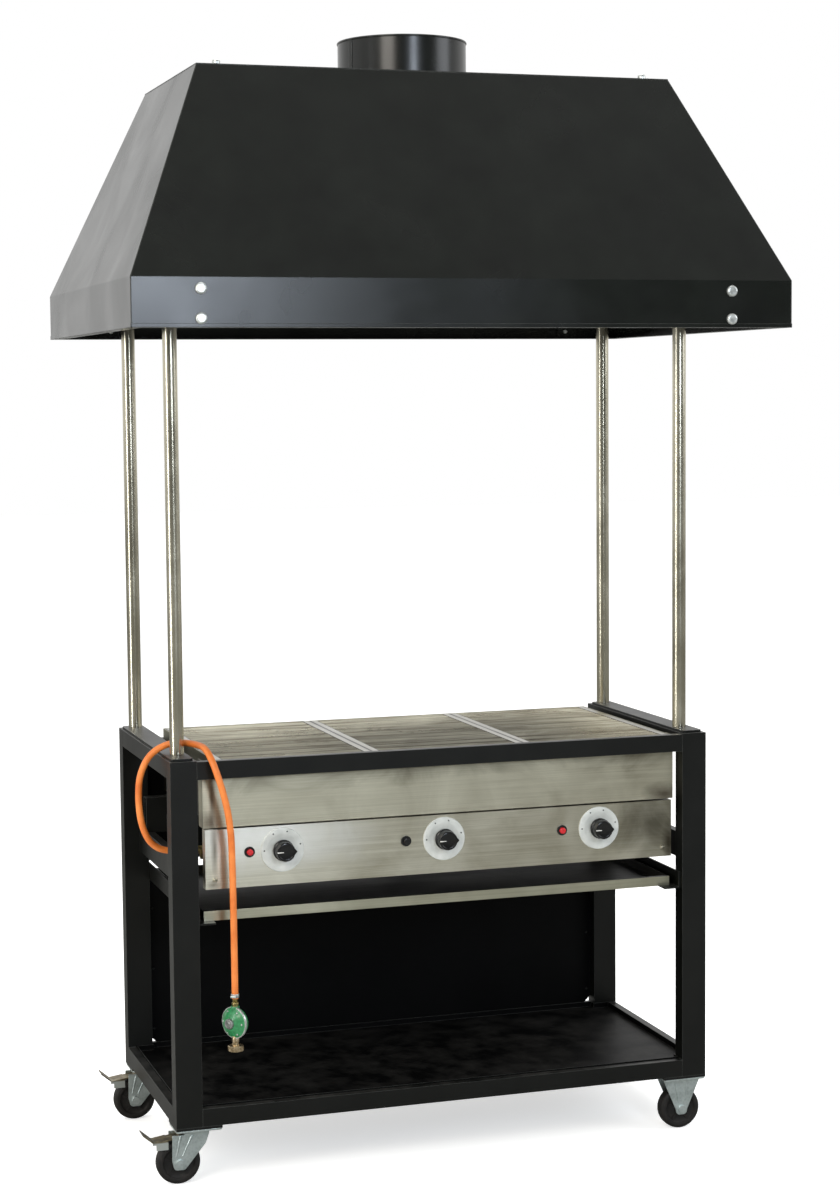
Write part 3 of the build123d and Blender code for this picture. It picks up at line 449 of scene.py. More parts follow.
def screw_head(mesh, at, facing, radius, height, finish=0):
    """A pan-head screw with a pressed cross: a dome whose cross-shaped middle is sunk."""
    placing = seat(at, facing)
    rings, steps = 9, 40
    grid = []
    for ring in range(rings + 1):
        share = ring / rings
        r = radius * share
        row = []
        for k in range(steps):
            angle = 2 * pi * k / steps
            u, v = r * cos(angle), r * sin(angle)
            dome = height * (1 - share ** 2.6) ** 0.5 if share < 1 else 0.0
            in_cross = min(abs(u), abs(v)) < radius * 0.14 and max(abs(u), abs(v)) < radius * 0.58
            row.append(mesh.verts.new(placing @ Vector((u, v, dome - (height * 0.55 if in_cross else 0)))))
            if ring == 0:
                break
        grid.append(row)
    for low, high in zip(grid, grid[1:]):
        for k in range(steps):
            corners = (low[k % len(low)], low[(k + 1) % len(low)], high[(k + 1) % steps], high[k])
            made = mesh.faces.new(list(dict.fromkeys(corners)))
            made.smooth = True
            made.material_index = finish


# Self-tapping screws hold the back panel to the rear legs.
panel_screws = bmesh.new()
BACK_PANEL_FACE = 0.287
BACK_SCREW_X = 0.572
for x in (-BACK_SCREW_X, BACK_SCREW_X):
    for z in (0.21, 0.36, 0.51):
        screw_head(panel_screws, (x, BACK_PANEL_FACE, z), (0, -1, 0), 0.0042, 0.0022)
keep("back_panel_screws", panel_screws, [panel_black], "frame")


# ================================================================ grill unit
# A folded stainless firebox in two fronts, upper fascia and control panel, with three
# tube burners, their roof-shaped spreaders and three lift-off grates of round rod.
def stainless(name, dark, pale, stretch, gloss, soil_and_painted_light=None, ground=0.0):
    """Stainless steel: satin grey with long grain, cloudy wipe marks and, where given, baked-on soil and
    painted light and shade.
    """
    material, tree, shader = new_material(name)
    place = add(tree, "TexCoord").outputs["Object"]
    # The real grain is some 0.1 mm wide; it is drawn near 2 mm wide so that it shows.
    long_way = add(tree, "VectorMath", {1: stretch}, {0: place}, operation="MULTIPLY")
    grain = add(tree, "TexNoise", {"Scale": 1.0, "Detail": 5.0, "Roughness": 0.65}, {
        "Vector": long_way.outputs[0]})
    wipe = add(tree, "TexNoise", {"Scale": 5.5, "Detail": 5.0, "Roughness": 0.55, "Distortion": 1.1}, {
        "Vector": place})
    tone = add(tree, "Mix", {0: 0.55}, {2: grain.outputs["Fac"], 3: wipe.outputs["Fac"]})
    colour = ramp(tree, tone.outputs[0], (0.28, dark), (0.7, pale))
    if soil_and_painted_light:
        colour = soil_and_painted_light(tree, place, wipe.outputs["Fac"], colour)
    tree.links.new(colour, shader.inputs["Base Color"])
    satin = add(tree, "MapRange", {
        "From Min": 0.25, "From Max": 0.75, "To Min": gloss - 0.07, "To Max": gloss + 0.12,
    }, {"Value": tone.outputs[0]})
    tree.links.new(satin.outputs[0], shader.inputs["Roughness"])
    arris = add(tree, "Bevel", {"Radius": 0.0008}, samples=6)
    skin = add(tree, "Bump", {"Strength": 0.12, "Distance": 0.0003}, {
        "Height": grain.outputs["Fac"], "Normal": arris.outputs[0]})
    tree.links.new(skin.outputs[0], shader.inputs["Normal"])
    shader.inputs["Metallic"].default_value = 1.0
    # Ground sheet throws its shine across the grain, so highlights stretch up and down.
    shader.inputs["Anisotropic"].default_value = ground
    shader.inputs["Anisotropic Rotation"].default_value = 0.25
    return material


def soft_colour_patch(tree, place, cloud, colour, centre, reach, tint, strength):
    """A soft-edged patch of colour round a point, broken up by the cloud pattern: heat tint and runs of fat,
    and also painted shadow and painted highlight.
    """
    offset = add(tree, "VectorMath", {1: centre}, {0: place}, operation="SUBTRACT")
    per_reach = tuple(1 / r for r in reach)
    squeezed = add(tree, "VectorMath", {1: per_reach}, {0: offset.outputs[0]}, operation="MULTIPLY")
    away = add(tree, "VectorMath", links={0: squeezed.outputs[0]}, operation="LENGTH")
    ragged = add(tree, "Math", {1: 1.6, 2: -0.8}, {0: cloud}, operation="MULTIPLY_ADD")
    edge = add(tree, "Math", links={0: away.outputs["Value"], 1: ragged.outputs[0]}, operation="ADD")
    amount = add(tree, "MapRange", {"From Min": 1.0, "From Max": 0.1, "To Max": strength}, {
        "Value": edge.outputs[0]})
    mixed = add(tree, "Mix", {7: linear(tint)}, {0: amount.outputs[0], 6: colour}, data_type="RGBA")
    return mixed.outputs[2]


UNIT_FRONT = -0.276
FASCIA_FOOT = 0.804


def fascia_soil_and_shade(tree, place, cloud, colour):
    """A painted shadow under the front rail, a run of fat at the left end and a scorch at the right corner.
    """
    for centre, reach, tint, strength in (
        # Painted shadow: a dark band along the fascia's top, where the front rail overhangs it.
        ((-0.15, UNIT_FRONT, 0.958), (2.0, 0.1, 0.075), "#454132", 0.85),
        ((-0.546, UNIT_FRONT, 0.87), (0.009, 0.1, 0.09), "#4a3526", 0.75),
        ((-0.552, UNIT_FRONT, 0.935), (0.028, 0.1, 0.03), "#4a3526", 0.7),
        ((-0.552, UNIT_FRONT, 0.818), (0.024, 0.1, 0.03), "#4a3526", 0.6),
        ((0.545, UNIT_FRONT, 0.815), (0.06, 0.1, 0.03), "#3d2c20", 0.75),
    ):
        colour = soft_colour_patch(tree, place, cloud, colour, centre, reach, tint, strength)
    return colour


def panel_soil_and_sheen(tree, place, cloud, colour):
    """A painted highlight at the left, fat at both ends and a brown bloom beside the last burner."""
    for centre, reach, tint, strength in (
        # Painted highlight: a broad near-white patch at the panel's left stands in for the sheen of light on
        # the ground steel.
        ((-0.42, UNIT_FRONT, 0.77), (0.26, 0.1, 0.10), "#fbf9f0", 0.9),
        ((-0.541, UNIT_FRONT, 0.75), (0.011, 0.1, 0.09), "#55503f", 0.75),
        ((-0.545, UNIT_FRONT, 0.676), (0.02, 0.1, 0.016), "#4a3c2b", 0.7),
        ((0.52, UNIT_FRONT, 0.75), (0.12, 0.1, 0.12), "#3f3b2c", 0.75),
        ((0.558, UNIT_FRONT, 0.70), (0.02, 0.1, 0.06), "#2c2318", 0.8),
    ):
        colour = soft_colour_patch(tree, place, cloud, colour, centre, reach, tint, strength)
    return colour


ALONG_X = (3.0, 90.0, 420.0)
fascia_steel = stainless("ground_stainless_fascia", "#b0aa94", "#dcd7c1", ALONG_X, 0.4, fascia_soil_and_shade, 0.5)
panel_steel = stainless("ground_stainless_panel", "#a8a189", "#e3decb", ALONG_X, 0.36, panel_soil_and_sheen, 0.6)
dress(fascia_steel, "upper_fascia")
dress(panel_steel, "control_panel")


def soot(tree, place, cloud, colour):
    """Burnt fat lies thicker the deeper it is in the firebox."""
    height = add(tree, "SeparateXYZ", links={"Vector": place})
    depth = add(tree, "MapRange", {"From Min": 0.956, "From Max": 0.90}, {"Value": height.outputs["Z"]})
    flecks = add(tree, "MapRange", {"From Min": 0.3, "From Max": 0.6, "To Min": 0.75}, {"Value": cloud})
    amount = add(tree, "Math", links={0: depth.outputs[0], 1: flecks.outputs[0]}, operation="MULTIPLY")
    mixed = add(tree, "Mix", {7: linear("#1d1813")}, {0: amount.outputs[0], 6: colour}, data_type="RGBA")
    return mixed.outputs[2]


firebox_steel = stainless("sooted_stainless_firebox", "#98967f", "#c4c1ae", (60.0, 3.0, 60.0), 0.4, soot)
dress(firebox_steel, "firebox")
burner_steel = stainless("blued_stainless_burner", "#2c2723", "#57504a", (60.0, 4.0, 60.0), 0.5)
dress(burner_steel, "burners", "flame_spreaders")


BAY_PITCH = 0.3655
MIDDLE_BAY_X = 0.0115
SIDE_BAR_INNER = 0.1643


def seasoned(tree, place, cloud, colour):
    """Brown fat baked on in streaks along the rods; the flat side bars stay pale and cool."""
    long_way = add(tree, "VectorMath", {1: (2.2, 60.0, 60.0)}, {0: place}, operation="MULTIPLY")
    film = add(tree, "TexNoise", {"Scale": 1.0, "Detail": 6.0, "Roughness": 0.6}, {
        "Vector": long_way.outputs[0]})
    amount = add(tree, "MapRange", {"From Min": 0.45, "From Max": 0.66, "To Max": 0.8}, {
        "Value": film.outputs["Fac"]})
    browned = add(tree, "Mix", {7: linear("#574a38")}, {0: amount.outputs[0], 6: colour}, data_type="RGBA")
    across = add(tree, "SeparateXYZ", links={"Vector": place})
    shifted = add(tree, "Math", {1: MIDDLE_BAY_X}, {0: across.outputs["X"]}, operation="SUBTRACT")
    fold = add(tree, "Math", {1: BAY_PITCH / 2}, {0: shifted.outputs[0]}, operation="PINGPONG")
    # Each side bar has a dark joint along both of its edges.
    bar_edge = SIDE_BAR_INNER - 0.0015
    over_bar = add(tree, "MapRange", {"From Min": bar_edge, "From Max": BAY_PITCH / 2}, {
        "Value": fold.outputs[0]})
    bar_tone = ramp(
        tree, over_bar.outputs[0], (0.0, "#3a362c"), (0.14, "#4a453a"), (0.2, "#b3b1a8"), (0.8, "#a6a49b"),
        (0.86, "#45413a"), (1.0, "#2c2a25"),
    )
    on_bar = add(tree, "Math", {1: bar_edge}, {0: fold.outputs[0]}, operation="GREATER_THAN")
    tinted = add(tree, "Mix", links={
        0: on_bar.outputs[0], 6: browned.outputs[2], 7: bar_tone}, data_type="RGBA")
    # The right-hand bays have seen more fat than the left one.
    fatty, spread = (0.42, 0.0, 0.95), (0.34, 0.5, 0.3)
    return soft_colour_patch(tree, place, cloud, tinted.outputs[2], fatty, spread, "#5d553f", 0.55)


rod_steel = stainless("seasoned_stainless_rod", "#a5a08c", "#dedac6", (6.0, 200.0, 200.0), 0.28, seasoned)
dress(rod_steel, "grate_left", "grate_middle", "grate_right")

# Drawn brass, dulled by heat: pale yellow-grey with brown tarnish.
brass, tree, shader = new_material("drawn_brass")
place = add(tree, "TexCoord").outputs["Object"]
tarnish = add(tree, "TexNoise", {"Scale": 90.0, "Detail": 5.0}, {"Vector": place})
tree.links.new(ramp(tree, tarnish.outputs["Fac"], (0.3, "#6f6137"), (0.6, "#b0a06a"), (0.8, "#c9bc8c")),
               shader.inputs["Base Color"])
gloss = add(tree, "MapRange", {"To Min": 0.22, "To Max": 0.45}, {"Value": tarnish.outputs["Fac"]})
tree.links.new(gloss.outputs[0], shader.inputs["Roughness"])
arris = add(tree, "Bevel", {"Radius": 0.0005}, samples=6)
tree.links.new(arris.outputs[0], shader.inputs["Normal"])
shader.inputs["Metallic"].default_value = 1.0
dress(brass, "gas_manifold", "inlet_elbow", "tap_spindle_left", "tap_spindle_middle", "tap_spindle_right")

# Stainless screws pin the control panel's ends, each on a small washer.
PANEL_SCREW_X = 0.541
PANEL_SCREW_HEIGHT = 0.687
panel_fixings = bmesh.new()
for x in (-PANEL_SCREW_X, PANEL_SCREW_X):
    placing = seat((x, UNIT_FRONT, PANEL_SCREW_HEIGHT), (0, -1, 0))
    turned(panel_fixings, ((0, 0.8), (7.2, 0.8), (7.6, 0.4), (7.6, 0)), placing, 40)
    screw_head(panel_fixings, (x, UNIT_FRONT - 0.0008, PANEL_SCREW_HEIGHT), (0, -1, 0), 0.0052, 0.0028)
keep("control_panel_screws", panel_fixings, [panel_steel], "frame")

# A folded hem runs along the foot of the upper fascia and shows as a fine line above the joint.
hem = bmesh.new()
HEM_LINES = ((FASCIA_FOOT + 0.0095, 0.0012), (FASCIA_FOOT + 0.0015, 0.0015))
for z, half in HEM_LINES:
    corners = [
        hem.verts.new((x, y, z + dz))
        for x in (-0.5665, 0.5665) for y in (UNIT_FRONT, UNIT_FRONT - 0.0006) for dz in (-half, half)
    ]
    bmesh.ops.convex_hull(hem, input=corners)
keep("fascia_hem", hem, [fascia_steel], "frame")


# ================================================================ controls
# Each bay has a printed plastic dial, a black moulded knob on the tap's spindle, and
# a push-button igniter in a black bezel.
TAPS = {"left": -0.386, "middle": -0.004, "right": 0.378}
CONTROL_HEIGHT = 0.745


def plastic(name, dark, pale, gloss, scale):
    """Moulded plastic: even colour with a faint cloud, greasy in places, and a fine moulded skin."""
    material, tree, shader = new_material(name)
    place = add(tree, "TexCoord").outputs["Object"]
    cloud = add(tree, "TexNoise", {"Scale": scale, "Detail": 4.0}, {"Vector": place})
    tree.links.new(ramp(tree, cloud.outputs["Fac"], (0.3, dark), (0.7, pale)), shader.inputs["Base Color"])
    grease = add(tree, "MapRange", {"To Min": gloss - 0.06, "To Max": gloss + 0.1}, {
        "Value": cloud.outputs["Fac"]})
    tree.links.new(grease.outputs[0], shader.inputs["Roughness"])
    arris = add(tree, "Bevel", {"Radius": 0.0005}, samples=6)
    skin = add(tree, "Bump", {"Strength": 0.05, "Distance": 0.0003}, {
        "Height": cloud.outputs["Fac"], "Normal": arris.outputs[0]})
    tree.links.new(skin.outputs[0], shader.inputs["Normal"])
    return material


# Screen-printed polycarbonate: pale cool grey and faintly glossy, its marks in flat black ink.
dial_plastic = plastic("printed_polycarbonate", "#b4b7b2", "#c9cbc6", 0.35, 40.0)
ink = plastic("black_screen_ink", "#121212", "#1c1c1c", 0.5, 80.0)
phenolic = plastic("moulded_black_phenolic", "#050505", "#0d0d0d", 0.2, 60.0)
white_fill = plastic("white_paint_fill", "#b9b9b4", "#d6d6d0", 0.4, 60.0)
red_cap = plastic("moulded_red_polyamide", "#a3151c", "#d02a30", 0.25, 60.0)
bezel_black = plastic("moulded_black_polyamide", "#090909", "#131313", 0.28, 60.0)

dials = bmesh.new()
MARK_ANGLES = (180, 120, 75, 15)
MARK_RING = 0.0425
for x in TAPS.values():
    placing = seat((x, UNIT_FRONT, CONTROL_HEIGHT), (0, -1, 0))
    turned(dials, (
        (5.2, 0), (5.2, 1.2), (24, 1.2), (34, 2.6), (36, 3.1), (38, 3.2), (47.5, 3.2), (49.4, 2.6),
        (50, 1.4), (50, 0),
    ), placing, 96)
    for angle in MARK_ANGLES:
        dx, dz = MARK_RING * cos(radians(angle)), MARK_RING * sin(radians(angle))
        spot = Vector((x + dx, UNIT_FRONT - 0.0032, CONTROL_HEIGHT + dz))
        turned(dials, ((0, 0.35), (1.5, 0.3), (1.8, 0)), seat(spot, (0, -1, 0)), 20, finish=1)
dial_discs = keep("dial_discs", dials, [dial_plastic, ink], "frame")
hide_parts("dial_plates")

KNOB_BACK = UNIT_FRONT - 0.007
for side, x in TAPS.items():
    knob = bmesh.new()
    placing = seat((x, KNOB_BACK, CONTROL_HEIGHT), (0, -1, 0))
    turned(knob, (
        (4.2, 0), (23, 0), (24, 0.8), (24, 7), (23.4, 8.2), (22, 9), (21.6, 10), (21.6, 27), (21, 28.8),
        (19.4, 29.8), (17.5, 30), (16.5, 29.3), (6, 29), (0, 29),
    ), placing, 80)
    # The pointer is a wedge from the barrel out to its nib.
    corners = []
    for depth, reach in ((0.0, 0.028), (0.012, 0.028), (0.0275, 0.0262)):
        y = KNOB_BACK - depth
        corners += [knob.verts.new((x + 0.010, y, CONTROL_HEIGHT + dz)) for dz in (-0.0115, 0.0115)]
        corners += [knob.verts.new((x + 0.019, y, CONTROL_HEIGHT + dz)) for dz in (-0.0085, 0.0085)]
        corners.append(knob.verts.new((x + reach, y, CONTROL_HEIGHT)))
    bmesh.ops.convex_hull(knob, input=corners)
    # A white-filled groove opposite the nib is the mark that is read against the dial.
    mark = [
        knob.verts.new((x + dx, y, CONTROL_HEIGHT + dz))
        for dx, half in ((-0.0205, 0.0014), (-0.006, 0.0008)) for dz in (-half, half)
        for y in (KNOB_BACK - 0.029, KNOB_BACK - 0.0302)
    ]
    before = len(knob.faces)
    bmesh.ops.convex_hull(knob, input=mark)
    knob.faces.ensure_lookup_table()
    for made in knob.faces[before:]:
        made.material_index = 1
    grip = keep(f"control_knob_{side}", knob, [phenolic, white_fill], f"{side}_knob", 0.0004)
    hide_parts(f"knob_{side}")

dress(bezel_black, "igniter_housings", "push_button_middle")
dress(red_cap, "push_button_left", "push_button_right")


# ================================================================ drip tray
# A shallow folded stainless tray rides on the runners and slides out through the slot in the
# back. Its inside is painted near-black and dulled, a painted shade under the firebox; the front lip stays
# bare steel.
def tray_painted_shade(tree, place, cloud, colour):
    # Painted shade: behind the front lip the inside is mixed to near-black.
    back = add(tree, "SeparateXYZ", links={"Vector": place})
    inside = add(tree, "MapRange", {"From Min": -0.2602, "From Max": -0.2592}, {"Value": back.outputs["Y"]})
    film = add(tree, "TexNoise", {"Scale": 7.0, "Detail": 6.0, "Roughness": 0.65}, {"Vector": place})
    amount = add(tree, "MapRange", {"From Min": 0.3, "From Max": 0.62, "To Min": 0.95, "To Max": 1.0}, {
        "Value": film.outputs["Fac"]})
    both = add(tree, "Math", links={0: inside.outputs[0], 1: amount.outputs[0]}, operation="MULTIPLY")
    mixed = add(tree, "Mix", {7: linear("#0a0908")}, {0: both.outputs[0], 6: colour}, data_type="RGBA")
    # The painted shade also turns the metal off, so the shine of steel fades where it lies.
    bare = add(tree, "Math", {0: 1.0}, {1: both.outputs[0]}, operation="SUBTRACT")
    shader = tree.nodes["Principled BSDF"]
    tree.links.new(bare.outputs[0], shader.inputs["Metallic"])
    shader.inputs["Specular IOR Level"].default_value = 0.15
    return mixed.outputs[2]


tray_steel = stainless("stainless_tray_painted_shade", "#a8a58e", "#d0cdb6", ALONG_X, 0.34, tray_painted_shade, 0.5)
dress(tray_steel, "drip_tray")


# ================================================================ posts and hood
# Four polished stainless tubes carry a black hood of folded steel sheet, bolted through
# its rim to two cross tubes; a round collar on the roof takes the duct.
post_steel = stainless("polished_stainless_tube", "#aaa490", "#dcd7c4", (70.0, 70.0, 1.2), 0.2)
dress(post_steel, "post_front_left", "post_front_right", "post_rear_left", "post_rear_right")

# Stoved black enamel on flat sheet: smoother and glossier than the cart, with slow waves in the sheet.
hood_enamel = black_paint("stoved_black_enamel", "#0b0d0a", "#141713", 0.22, 4.0, 0.12, 0.44, 0.0025)
dress(
    hood_enamel, "hood_panel_front", "hood_panel_rear", "hood_panel_left", "hood_panel_right", "hood_roof",
    "duct_collar", "hood_support_bars",
)

# Bright zinc dome bolts and nuts.
bolt_zinc, tree, shader = new_material("bright_zinc_bolt")
place = add(tree, "TexCoord").outputs["Object"]
cloud = add(tree, "TexNoise", {"Scale": 120.0, "Detail": 4.0}, {"Vector": place})
tree.links.new(ramp(tree, cloud.outputs["Fac"], (0.3, "#b3b7b4"), (0.7, "#dfe2de")),
               shader.inputs["Base Color"])
gloss = add(tree, "MapRange", {"To Min": 0.24, "To Max": 0.42}, {"Value": cloud.outputs["Fac"]})
tree.links.new(gloss.outputs[0], shader.inputs["Roughness"])
shader.inputs["Metallic"].default_value = 0.75
dress(bolt_zinc, "hood_fixings")

# The rim's foot is hemmed: a narrow doubled strip stands just proud all round.
HOOD_HALF_WIDTH = 0.753
HOOD_HALF_DEPTH = 0.513
HOOD_FOOT = 1.902
HEM_HEIGHT = 0.009
HEM_PROUD = 0.0008
rim_hem = bmesh.new()
outer = [
    (sx * (HOOD_HALF_WIDTH + HEM_PROUD), sy * (HOOD_HALF_DEPTH + HEM_PROUD))
    for sx, sy in ((-1, -1), (1, -1), (1, 1), (-1, 1))
]
for index in range(4):
    (x0, y0), (x1, y1) = outer[index], outer[(index + 1) % 4]
    inward = Vector((-(y1 - y0), x1 - x0, 0)).normalized() * 0.0008
    corners = [
        rim_hem.verts.new(Vector((x, y, z)) + shift)
        for x, y in ((x0, y0), (x1, y1)) for z in (HOOD_FOOT, HOOD_FOOT + HEM_HEIGHT)
        for shift in (Vector(), inward)
    ]
    bmesh.ops.convex_hull(rim_hem, input=corners)
keep("hood_rim_hem", rim_hem, [hood_enamel], "frame")

# The collar is rolled from strip: its ends lap in one upright seam, spot-welded, and a
# rolled bead stiffens its mouth. A small angle clip holds it to the roof.
COLLAR_RADIUS = 0.150
ROOF_LEVEL = 2.477
COLLAR_TOP = 2.577
SEAM_ANGLE = radians(200.4)
collar = bmesh.new()
lap = []
for offset in range(-4, 5):
    angle = SEAM_ANGLE + offset * 0.011
    for radius in (COLLAR_RADIUS - 0.0002, COLLAR_RADIUS + 0.0012):
        for z in (ROOF_LEVEL + 0.003, COLLAR_TOP - 0.001):
            lap.append(collar.verts.new((radius * cos(angle), radius * sin(angle), z)))
bmesh.ops.convex_hull(collar, input=lap)
for step in range(4):
    way = Vector((cos(SEAM_ANGLE), sin(SEAM_ANGLE), 0))
    at = way * (COLLAR_RADIUS + 0.0010) + Vector((0, 0, ROOF_LEVEL + 0.016 + step * 0.023))
    turned(collar, ((0, 0.7), (1.6, 0.5), (2.8, 0)), seat(at, way), 20)
mouth = seat((0, 0, COLLAR_TOP), (0, 0, 1))
turned(collar, (
    (148.6, -5), (151.0, -5), (151.8, -3.6), (151.8, -1.8), (150.9, -0.3), (149.2, 0), (148.4, -1.2),
    (148.6, -5),
), mouth, 96)
clip_way = Vector((cos(radians(-20)), sin(radians(-20)), 0))
clip_across = Vector((-clip_way.y, clip_way.x, 0))
for reach, low, high in ((0.0, 0.0, 0.020), (0.018, 0.002, 0.0045)):
    corners = [
        collar.verts.new(clip_way * (COLLAR_RADIUS + d) + clip_across * w + Vector((0, 0, ROOF_LEVEL + z)))
        for d in (0.0, max(reach, 0.002)) for w in (-0.012, 0.012) for z in (low, high)
    ]
    bmesh.ops.convex_hull(collar, input=corners)
# Long welds close the roof's two short edges.
ROOF_EDGE_X = 0.5535
ROOF_EDGE_Y = 0.2775
for x in (ROOF_EDGE_X, -ROOF_EDGE_X):
    z = ROOF_LEVEL - 0.001
    weld_bead(collar, (x, ROOF_EDGE_Y, z), (x, -ROOF_EDGE_Y, z), 0.0012, 0.2)
keep("collar_seam_and_clip", collar, [hood_enamel], "frame")


# ================================================================ gas line
# An orange rubber hose leaves the inlet on the left, loops outside the side rail, folds
# over the front rail and hangs by the regulator that will screw onto the bottle.
HOSE_RADIUS = 0.0075
HOSE_ROUTE_MM = (
    (-580, -160, 735), (-628, -160, 735), (-665, -163, 758), (-684, -166, 803), (-690, -168, 860),
    (-687, -171, 914), (-665, -176, 962), (-623, -178, 985), (-588, -196, 987), (-567, -229, 986),
    (-560, -278, 985), (-554, -314, 966), (-545, -334, 931), (-533, -336, 890), (-520, -332, 835),
    (-511, -322, 752), (-511, -322, 427),
)

# Moulded orange gas hose, braid under rubber: satin orange with the braid's faint diamond relief,
# paler where it was handled. The 1.5 mm braid is drawn at 3 mm.
hose_rubber, tree, shader = new_material("braided_orange_hose_rubber")
place = add(tree, "TexCoord").outputs["Object"]
handled = add(tree, "TexNoise", {"Scale": 22.0, "Detail": 4.0}, {"Vector": place})
tree.links.new(ramp(tree, handled.outputs["Fac"], (0.3, "#cf6a26"), (0.7, "#e8873f")),
               shader.inputs["Base Color"])
braid = add(tree, "TexVoronoi", {"Scale": 330.0, "Randomness": 0.35}, {"Vector": place})
skin = add(tree, "Bump", {"Strength": 0.2, "Distance": 0.0003}, {"Height": braid.outputs["Distance"]})
tree.links.new(skin.outputs[0], shader.inputs["Normal"])
shader.inputs["Roughness"].default_value = 0.42
shader.inputs["Specular IOR Level"].default_value = 0.4

route = bpy.data.curves.new("orange_hose", "CURVE")
route.dimensions = "3D"
route.bevel_depth = HOSE_RADIUS
route.bevel_resolution = 8
route.resolution_u = 16
route.use_fill_caps = True
run = route.splines.new("NURBS")
run.points.add(len(HOSE_ROUTE_MM) - 1)
for point, (x, y, z) in zip(run.points, HOSE_ROUTE_MM):
    point.co = (x / 1000, y / 1000, z / 1000, 1.0)
run.order_u = 3
run.use_endpoint_u = True
route.materials.append(hose_rubber)
hose = bpy.data.objects.new("orange_hose", route)
bpy.context.scene.collection.objects.link(hose)
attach(hose, "frame")
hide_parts("gas_hose")

# The hose end is pushed on a ribbed brass barb and held by a worm-drive clip.
HOSE_END = Vector((-0.511, -0.322, 0.427))
DOWN = (0, 0, -1)
clip = bmesh.new()
turned(clip, (
    (6.2, -1), (6.6, 1), (5.6, 3), (6.6, 3.4), (5.6, 5.4), (6.6, 5.8), (5.6, 7.8), (7.4, 9), (7.8, 10),
    (7.8, 13),
    (7.0, 14), (7.0, 22), (0, 22),
), seat(HOSE_END, DOWN), 40)
turned(clip, (
    (7.4, -10.5), (8.9, -10.5), (9.2, -10), (9.2, -3), (8.9, -2.5), (7.4, -2.5), (7.4, -10.5),
), seat(HOSE_END, DOWN), 48, finish=1)
worm = seat(HOSE_END + Vector((-0.0065, -0.0105, 0.0065)), (0.85, -0.53, 0))
turned(clip, (
    (0, -6), (2.6, -6), (3.1, -5.2), (3.1, 4), (3.6, 4.4), (3.6, 6.6), (3.0, 7), (0.8, 6.4), (0, 6.4),
), worm, 24, finish=1)
hose_clip = keep("hose_barb_and_clip", clip, [brass, zinc], "frame")
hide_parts("hose_tail")

# Die-cast regulator in green hammer enamel: two dished halves crimped at the rim.
green_enamel, tree, shader = new_material("green_hammer_enamel")
place = add(tree, "TexCoord").outputs["Object"]
dimple = add(tree, "TexNoise", {"Scale": 140.0, "Detail": 3.0}, {"Vector": place})
tree.links.new(ramp(tree, dimple.outputs["Fac"], (0.3, "#1f6b3c"), (0.7, "#338a55")),
               shader.inputs["Base Color"])
skin = add(tree, "Bump", {"Strength": 0.2, "Distance": 0.0004}, {"Height": dimple.outputs["Fac"]})
tree.links.new(skin.outputs[0], shader.inputs["Normal"])
shader.inputs["Roughness"].default_value = 0.33
shader.inputs["Coat Weight"].default_value = 0.2

REGULATOR_CENTRE = Vector((-0.511, -0.322, 0.3735))
FACING = Vector((-0.83, -0.557, 0)).normalized()
front_seat = seat(REGULATOR_CENTRE, FACING)
housing = bmesh.new()
turned(housing, (
    (0, -14), (19, -14), (26, -12), (31, -8), (33.5, -3), (33.9, 1),
), front_seat, 72)
turned(housing, (
    (33.9, 1), (35.8, 1.2), (36, 2), (36, 5.2), (35.6, 6), (33.7, 6.2),
), front_seat, 72, finish=1)
turned(housing, (
    (33.7, 6.2), (32.3, 6.6), (28, 10.2), (22.5, 13.8), (17, 16.4), (13.5, 17.4), (12.5, 18), (0, 18),
), front_seat, 72)
turned(housing, ((0, 2), (9, 2), (9.6, 3), (9.6, 9), (8.4, 10), (8.4, 16), (0, 16)),
       seat(HOSE_END + Vector((0, 0, -0.015)), DOWN), 40)
for angle in range(0, 360, 60):
    way = front_seat.to_3x3() @ Vector((cos(radians(angle)), sin(radians(angle)), 0))
    screw_head(housing, REGULATOR_CENTRE + way * 0.0275 + FACING * 0.0100, FACING, 0.0026, 0.0016, finish=1)
regulator = keep("regulator_housing", housing, [green_enamel, bolt_zinc], "frame")
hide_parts("regulator_body")

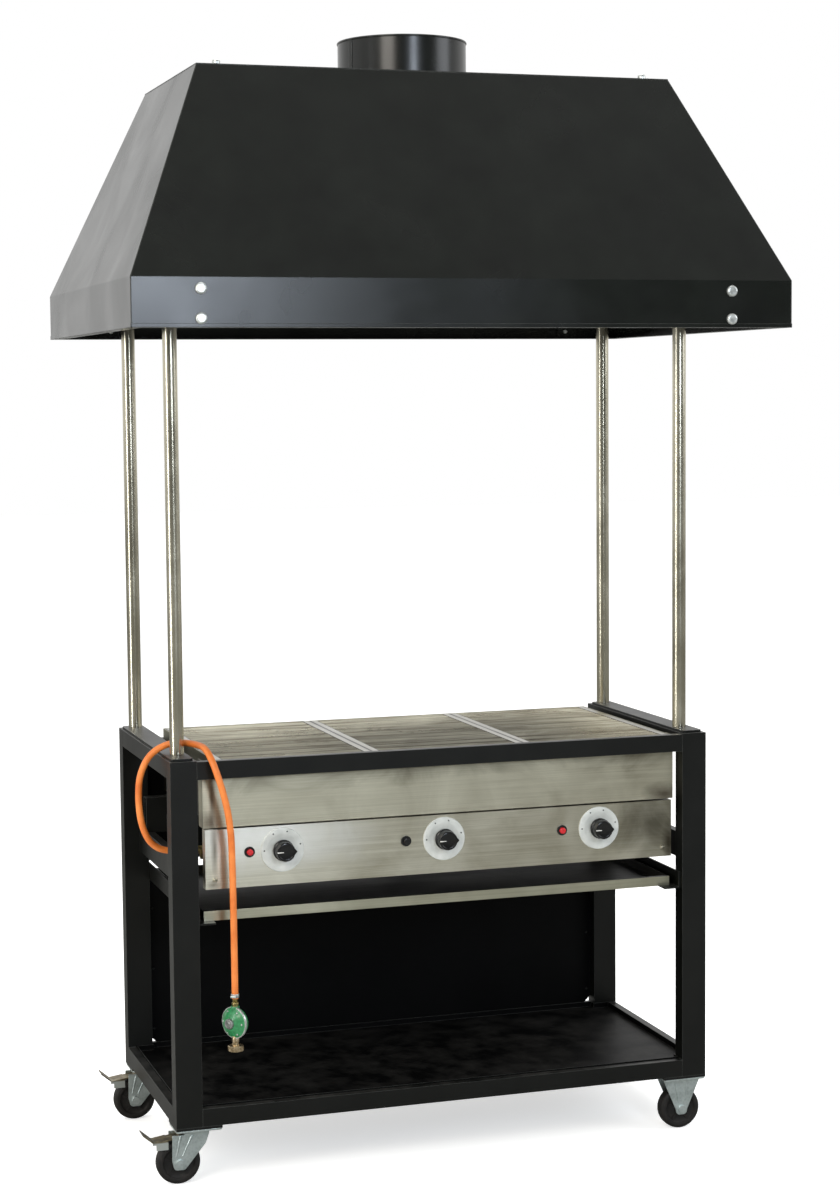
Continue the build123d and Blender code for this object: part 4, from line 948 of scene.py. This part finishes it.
# Dull grey die-cast cap over the spring, with a deep pressed cross to turn it by.
cap_metal, tree, shader = new_material("grey_diecast_cap")
place = add(tree, "TexCoord").outputs["Object"]
cloud = add(tree, "TexNoise", {"Scale": 150.0, "Detail": 4.0}, {"Vector": place})
tree.links.new(ramp(tree, cloud.outputs["Fac"], (0.3, "#6b6d6a"), (0.7, "#9a9c98")),
               shader.inputs["Base Color"])
shader.inputs["Roughness"].default_value = 0.4
shader.inputs["Metallic"].default_value = 0.6
cap = bmesh.new()
turned(cap, (
    (9.5, 17.5), (11.2, 17.5), (11.6, 18.2), (11.6, 22.6), (10.8, 23.8), (8.6, 24.2), (7.8, 23.2), (0, 22.8),
), front_seat, 48)
screw_head(cap, REGULATOR_CENTRE + FACING * 0.0228, FACING, 0.0066, 0.0020)
dome_cap = keep("regulator_adjuster_cap", cap, [cap_metal], "frame")
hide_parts("regulator_cap")

# Brass stem and the knurled round union nut with its bored, threaded mouth.
NUT_TOP = 0.3215
NUT_FOOT = 0.3085
NUT_REACH = 0.0176
KNURLS = 36
union = bmesh.new()
turned(union, (
    (0, 0), (7.4, 0), (8, 0.8), (8, 13), (7.2, 13.8), (7.2, 17), (8.4, 18), (8.4, 22),
), seat((-0.511, -0.322, 0.3425), DOWN), 40)
nut_axis = Matrix.Translation((-0.511, -0.322, 0))
levels = (
    (NUT_TOP, 0.0088), (NUT_TOP, 0.0158), (NUT_TOP - 0.0014, NUT_REACH),
    (NUT_FOOT + 0.0014, NUT_REACH), (NUT_FOOT, 0.0160),
)
rings = []
for z, reach in levels:
    ring = []
    for k in range(2 * KNURLS):
        groove = 0.0006 if k % 2 and reach == NUT_REACH else 0.0
        angle = pi * k / KNURLS
        ring.append(union.verts.new(nut_axis @ Vector((
            (reach - groove) * cos(angle), (reach - groove) * sin(angle), z))))
    rings.append(ring)
for low, high in zip(rings, rings[1:]):
    for k in range(2 * KNURLS):
        following = (k + 1) % (2 * KNURLS)
        union.faces.new((low[k], low[following], high[following], high[k]))
turned(union, (
    (16.0, 0), (13.0, 0), (11.2, -0.6), (10.2, -1.5), (10.9, -2.2), (10.2, -2.9), (10.9, -3.6), (10.2, -4.3),
    (10.9, -5.0), (10.9, -8), (0, -8),
), seat((-0.511, -0.322, NUT_FOOT), DOWN), 48)
# Cast brass, rubbed pale by hands and spanners.
pale_brass, tree, shader = new_material("hand_rubbed_cast_brass")
place = add(tree, "TexCoord").outputs["Object"]
cloud = add(tree, "TexNoise", {"Scale": 180.0, "Detail": 4.0}, {"Vector": place})
tree.links.new(ramp(tree, cloud.outputs["Fac"], (0.3, "#9a8462"), (0.7, "#d9c7a6")),
               shader.inputs["Base Color"])
shader.inputs["Roughness"].default_value = 0.35
shader.inputs["Metallic"].default_value = 1.0
union_nut = keep("union_nut", union, [pale_brass], "frame")
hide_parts("bottle_nut")
